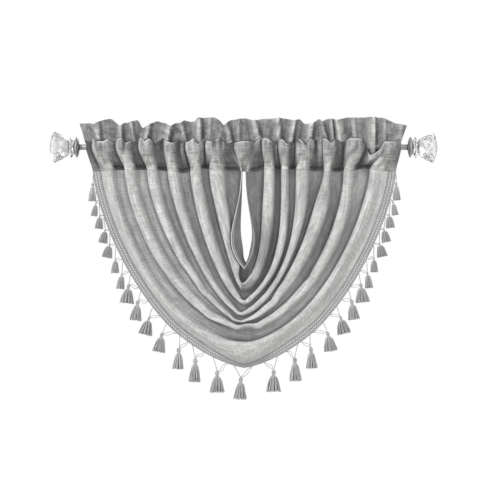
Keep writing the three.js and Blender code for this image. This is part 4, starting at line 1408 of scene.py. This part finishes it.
def make_finial(side, word, metals, crystals):
    start = side * (ROD_HALF_LENGTH + SEAM_GAP)
    points, faces = lathe(COLLAR_PROFILE, start, side)
    collar = add_piece(f"collar_{word}_turned", points, faces, metals, "rod_metal", [f"collar_{word}"])
    # The sleeve is painted dark as the shadow where the rod enters the collar
    paint_bands(collar, COLLAR_SHADOW_BANDS)
    start += side * (COLLAR_PROFILE["along"][-1] + SEAM_GAP)
    points, faces = lathe(BEAD_PROFILE, start, side)
    materials = [crystals["bead"], metals[1]]
    bead = add_piece(f"bead_{word}_clear", points, faces, materials, "crystal", [f"bead_{word}"])
    paint_bands(bead, BEAD_DARK_BANDS)
    start += side * (BEAD_LENGTH + SEAM_GAP)
    points, faces = cut_knob(start, side)
    finish = dict(slot="crystal", nodes=[f"knob_{word}"], smooth_faces=False)
    knob = add_piece(f"knob_{word}_cut", points, faces, [crystals["knob"]], **finish)
    bevel = dict(width=KNOB_BEVEL * MM, segments=KNOB_BEVEL_SEGMENTS, harden_normals=False)
    angle = math.radians(KNOB_BEVEL_ANGLE)
    modify(knob, "edges", "BEVEL", limit_method="ANGLE", angle_limit=angle, **bevel)


# Materials

def grey(level):
    return (level, level, level * GREY_BLUE, 1.0)


class Nodes:
    """Short calls for building a material's nodes."""

    def __init__(self, name=None, tree=None, output="ShaderNodeOutputMaterial"):
        if tree is None:
            self.material = bpy.data.materials.new(name)
            self.material.use_nodes = True
            tree = self.material.node_tree
        self.tree = tree
        self.tree.nodes.clear()
        self.output = self.tree.nodes.new(output)

    def add(self, kind, inputs=None, **settings):
        node = self.tree.nodes.new(kind)
        for name, value in settings.items():
            setattr(node, name, value)
        for name, value in (inputs or {}).items():
            self.set(node.inputs[name], value)
        return node

    def set(self, socket, value):
        if isinstance(value, bpy.types.NodeSocket):
            self.tree.links.new(value, socket)
        else:
            socket.default_value = value

    def math(self, operation, a, b=0.5):
        return self.add("ShaderNodeMath", {0: a, 1: b}, operation=operation).outputs[0]

    def weighed(self, a, a_share, b, b_share):
        """A sum of two values by their shares."""
        return self.math("ADD", self.math("MULTIPLY", a, a_share), self.math("MULTIPLY", b, b_share))

    def colour_mix(self, share, a, b, blend="MIX"):
        node = self.add("ShaderNodeMix", {"Factor": share}, data_type="RGBA", blend_type=blend)
        self.set(node.inputs[6], a)
        self.set(node.inputs[7], b)
        return node.outputs[2]

    def shaded(self, base, mark, strength, level):
        """A colour that tends to a grey by a mark times a strength."""
        return self.colour_mix(self.math("MULTIPLY", mark, strength), base, grey(level))

    def mark(self, name):
        return self.add("ShaderNodeAttribute", attribute_name=name).outputs["Fac"]

    def object_place(self):
        return self.add("ShaderNodeTexCoord").outputs["Object"]

    def parts(self, vector):
        return self.add("ShaderNodeSeparateXYZ", {"Vector": vector}).outputs

    def normal_parts(self):
        return self.parts(self.add("ShaderNodeNewGeometry").outputs["Normal"])

    def noise(self, coordinates, scale, detail, roughness=0.5):
        """Noise stretched by a scale for each axis."""
        mapping = self.add("ShaderNodeMapping", {"Vector": coordinates, "Scale": scale})
        inputs = {"Vector": mapping.outputs[0], "Scale": 1.0, "Detail": detail, "Roughness": roughness}
        return self.add("ShaderNodeTexNoise", inputs).outputs["Fac"]

    def ramp(self, value, low, high, to_low=0.0, to_high=1.0):
        inputs = {"Value": value, "From Min": low, "From Max": high, "To Min": to_low, "To Max": to_high}
        return self.add("ShaderNodeMapRange", inputs).outputs[0]

    def bump(self, height, settings):
        return self.add("ShaderNodeBump", {"Height": height, **settings}).outputs[0]

    def surface(self, base, settings):
        return self.add("ShaderNodeBsdfPrincipled", {"Base Color": base, **settings}).outputs[0]

    def finish(self, shader):
        self.set(self.output.inputs["Surface"], shader)
        return self.material


def linen(name, shade, light, dark, translucent, mottle):
    """Linen-look cloth: a plain weave with slubs both ways, a little see-through, with the painted shade and
    highlights that its shade gives.
    """
    n = Nodes(name)
    uv = n.add("ShaderNodeUVMap", uv_map="cloth_metres").outputs[0]
    noise = {kind: n.noise(uv, *settings) for kind, settings in LINEN_NOISE.items()}
    streaks = n.weighed(noise["warp"], WARP_SHARE, noise["weft"], WEFT_SHARE)
    picks = [n.math("SINE", n.math("MULTIPLY", part, TURN / THREAD_PITCH)) for part in n.parts(uv)[:2]]
    weave = n.math("MULTIPLY", *picks)
    tone = n.math("ADD", streaks, n.math("MULTIPLY", noise["cloud"], CLOUD_SHARE))
    tone = n.math("ADD", tone, n.math("MULTIPLY", noise["blotch"], mottle))
    base = n.colour_mix(n.ramp(tone, *TONE_RANGE + mottle / 2), grey(dark), grey(light))
    threads = n.math("MULTIPLY_ADD", weave, THREAD_TONE)
    threads.node.inputs[2].default_value = 1.0
    base = shade(n, n.colour_mix(1.0, base, threads, "MULTIPLY"))
    bump = n.bump(n.weighed(streaks, 1.0, weave, THREAD_BUMP), LINEN_BUMP)
    woven = n.surface(base, {"Normal": bump, **LINEN_SURFACE})
    through = n.add("ShaderNodeBsdfTranslucent", {"Color": base, "Normal": bump}).outputs[0]
    return n.finish(n.add("ShaderNodeMixShader", {0: translucent, 1: woven, 2: through}).outputs[0])


def hollow(n):
    """How deep a place lies in the folds as seen from its own side of the cloth, from 0 to 1: how much of
    the valleys' painted shade it takes.
    """
    front = n.ramp(n.normal_parts()[1], *FRONT_RANGE)
    valley = n.mark("valley")
    behind = n.math("MULTIPLY", n.math("SUBTRACT", 1.0, valley), BEHIND_SHARE)
    return n.add("ShaderNodeMix", {0: front, 2: behind, 3: valley}, data_type="FLOAT").outputs[0]


def panel_shade(n, base):
    """Painted shade deepens the valleys, most near the neckline, and darkens the turned-back facing, the
    feet of the folds' edges and some dimmed zones. A painted highlight lightens the rolled edges.
    """
    deep = n.ramp(n.mark("inner"), 0.0, 1.0, *VALLEY_STRENGTH)
    base = n.shaded(base, hollow(n), deep, VALLEY_GREY)
    for mark, strength, level in PANEL_SHADES:
        base = n.shaded(base, n.mark(mark), strength, level)
    return base


def heading_shade(n, base):
    """Painted shade deepens valleys and pinches. Painted highlights lighten crests at their lips, towards
    the seam and on the ruffle. The band darkens valleys with painted shade.
    """
    valley = hollow(n)
    crest = n.ramp(n.mark("valley"), *CREST_RANGE)
    lighter = n.colour_mix(1.0, base, grey(CREST_LIGHT), "MULTIPLY")
    base = n.colour_mix(n.math("MULTIPLY", n.mark("join"), crest), base, lighter)
    base = n.shaded(base, n.mark("lip"), crest, LIP_GREY)
    base = n.colour_mix(n.math("MULTIPLY", n.mark("ruffle"), crest), base, lighter)
    base = n.shaded(base, valley, n.ramp(n.mark("ruffle"), 0.0, 1.0, *POCKET_VALLEYS), POCKET_GREY)
    base = n.shaded(base, n.mark("pinch"), **PINCH)
    in_band = n.math("MULTIPLY", n.mark("band"), n.ramp(n.mark("valley"), *BAND_RANGE))
    return n.shaded(base, in_band, **BAND)


def yarn(name, light, dark):
    """Spun yarn with painted shade in its furrows."""
    n = Nodes(name)
    place = n.object_place()
    fibre = n.noise(place, *FIBRE_NOISE)
    tone = n.weighed(fibre, FIBRE_SHARE, n.noise(place, *FIBRE_CLOUD), 1 - FIBRE_SHARE)
    base = n.colour_mix(n.ramp(tone, *FIBRE_RANGE), grey(dark), grey(light))
    base = n.shaded(base, n.mark("furrow"), FURROW_STRENGTH, dark * FURROW_DARK)
    return n.finish(n.surface(base, {"Normal": n.bump(fibre, YARN_BUMP), **YARN_SURFACE}))


def satin_metal(name, light, dark, roughness):
    """Satin metal with fine turning marks round the rod's axis, and painted shade where its faces turn up or
    down.
    """
    n = Nodes(name)
    place = n.object_place()
    marks = n.noise(place, *TURNING_NOISE)
    base = n.colour_mix(n.noise(place, *METAL_CLOUD), grey(dark), grey(light))
    # Painted shade where the faces turn up or down
    edge = n.ramp(n.math("ABSOLUTE", n.normal_parts()[2]), *METAL_SHADE_RANGE)
    base = n.colour_mix(edge, base, grey(dark * METAL_SHADE_DARK))
    rough = n.ramp(marks, *METAL_MARKS, *(roughness * share for share in METAL_ROUGH))
    settings = {"Metallic": 1.0, "Roughness": rough, "Normal": n.bump(marks, METAL_BUMP)}
    return n.finish(n.surface(base, settings))


def clear_crystal(name, tint):
    """Clear cut acrylic with faint polishing marks."""
    n = Nodes(name)
    polish = n.noise(n.object_place(), *POLISH_NOISE)
    settings = {"Roughness": n.ramp(polish, *POLISH_ROUGH), "Normal": n.bump(polish, CRYSTAL_BUMP)}
    colour = (tint, tint + CRYSTAL_TINT_STEP, tint + 2 * CRYSTAL_TINT_STEP, 1.0)
    return n.finish(n.surface(colour, {**settings, **CRYSTAL_SURFACE}))


def floor_paint(name):
    n = Nodes(name)
    base = n.colour_mix(n.noise(n.object_place(), *FLOOR_NOISE), *map(grey, FLOOR_GREYS))
    return n.finish(n.surface(base, {"Roughness": FLOOR_ROUGHNESS}))


# Stage

def add_light(name, place, target, size, power):
    light = bpy.data.lights.new(name, "AREA")
    light.shape = "DISK"
    light.size = size
    light.energy = power
    lamp = add_object(name, light)
    lamp.location = place
    lamp.rotation_euler = (Vector(target) - Vector(place)).to_track_quat("-Z", "Y").to_euler()


def make_world():
    """A white backdrop, also through clear pieces, and soft room light, most from the upper left."""
    world = bpy.data.worlds.new("studio")
    world.use_nodes = True
    bpy.context.scene.world = world
    n = Nodes(tree=world.node_tree, output="ShaderNodeOutputWorld")
    path = n.add("ShaderNodeLightPath").outputs
    way = n.add("ShaderNodeTexCoord").outputs["Generated"]
    facing = n.add("ShaderNodeVectorMath", {0: way, 1: ROOM_WAY}, operation="DOT_PRODUCT").outputs["Value"]
    colours = [
        n.ramp(facing, *ROOM_RANGE, *ROOM_LIGHT),
        n.ramp(n.parts(way)[1], *THROUGH_RANGE, *THROUGH_LIGHT),
        (1.0, 1.0, 1.0, 1.0),
    ]
    shaders = [n.add("ShaderNodeBackground", {"Color": colour}).outputs[0] for colour in colours]
    room, backdrop, white = shaders
    through = n.math("SUBTRACT", path["Is Transmission Ray"], path["Is Diffuse Ray"])
    through.node.use_clamp = True
    lit = n.add("ShaderNodeMixShader", {0: through, 1: room, 2: backdrop}).outputs[0]
    seen = n.add("ShaderNodeMixShader", {0: path["Is Camera Ray"], 1: lit, 2: white}).outputs[0]
    n.set(n.output.inputs["Surface"], seen)


def make_stage():
    camera = add_object("camera", bpy.data.cameras.new("camera"))
    camera.location = CAMERA_PLACE
    camera.rotation_euler = (math.pi / 2, 0, 0)
    camera.data.sensor_width = SENSOR
    camera.data.lens = SENSOR * -CAMERA_PLACE[1] / FRAME_WIDTH
    bpy.context.scene.camera = camera
    mesh = bpy.data.meshes.new("floor")
    mesh.from_pydata(FLOOR_CORNERS, [], [(0, 1, 2, 3)])
    mesh.materials.append(floor_paint("pale_floor"))
    floor = add_object("floor", mesh)
    make_world()
    for light in LIGHTS:
        add_light(**light)
    settings = bpy.context.scene.view_settings
    settings.view_transform = "Standard"
    settings.look = "None"


def main():
    make_stage()
    random = np.random.default_rng(RANDOM_SEED)
    panel_linen = linen("panel_linen", panel_shade, **PANEL_LINEN)
    heading_linen = linen("heading_linen", heading_shade, **HEADING_LINEN)
    gimp = yarn("gimp_yarn", **GIMP)
    spun = yarn("tassel_yarn", **SPUN)
    metals = [satin_metal("satin_metal", **SATIN_METAL), satin_metal("dark_metal_and_shadow", **DARK_METAL_AND_SHADOW)]
    crystals = {name: clear_crystal(name + "_crystal", tint) for name, tint in CRYSTAL_TINTS.items()}
    make_rod(metals[:1])
    make_finial(LEFT, "left", metals, crystals)
    make_finial(RIGHT, "right", metals, crystals)
    panel = make_panel([panel_linen])
    heading = make_heading([heading_linen])
    braid = make_braid([gimp])
    tassels = [make_tassel(i, plan, [spun], random) for i, plan in enumerate(tassel_plans())]


main()
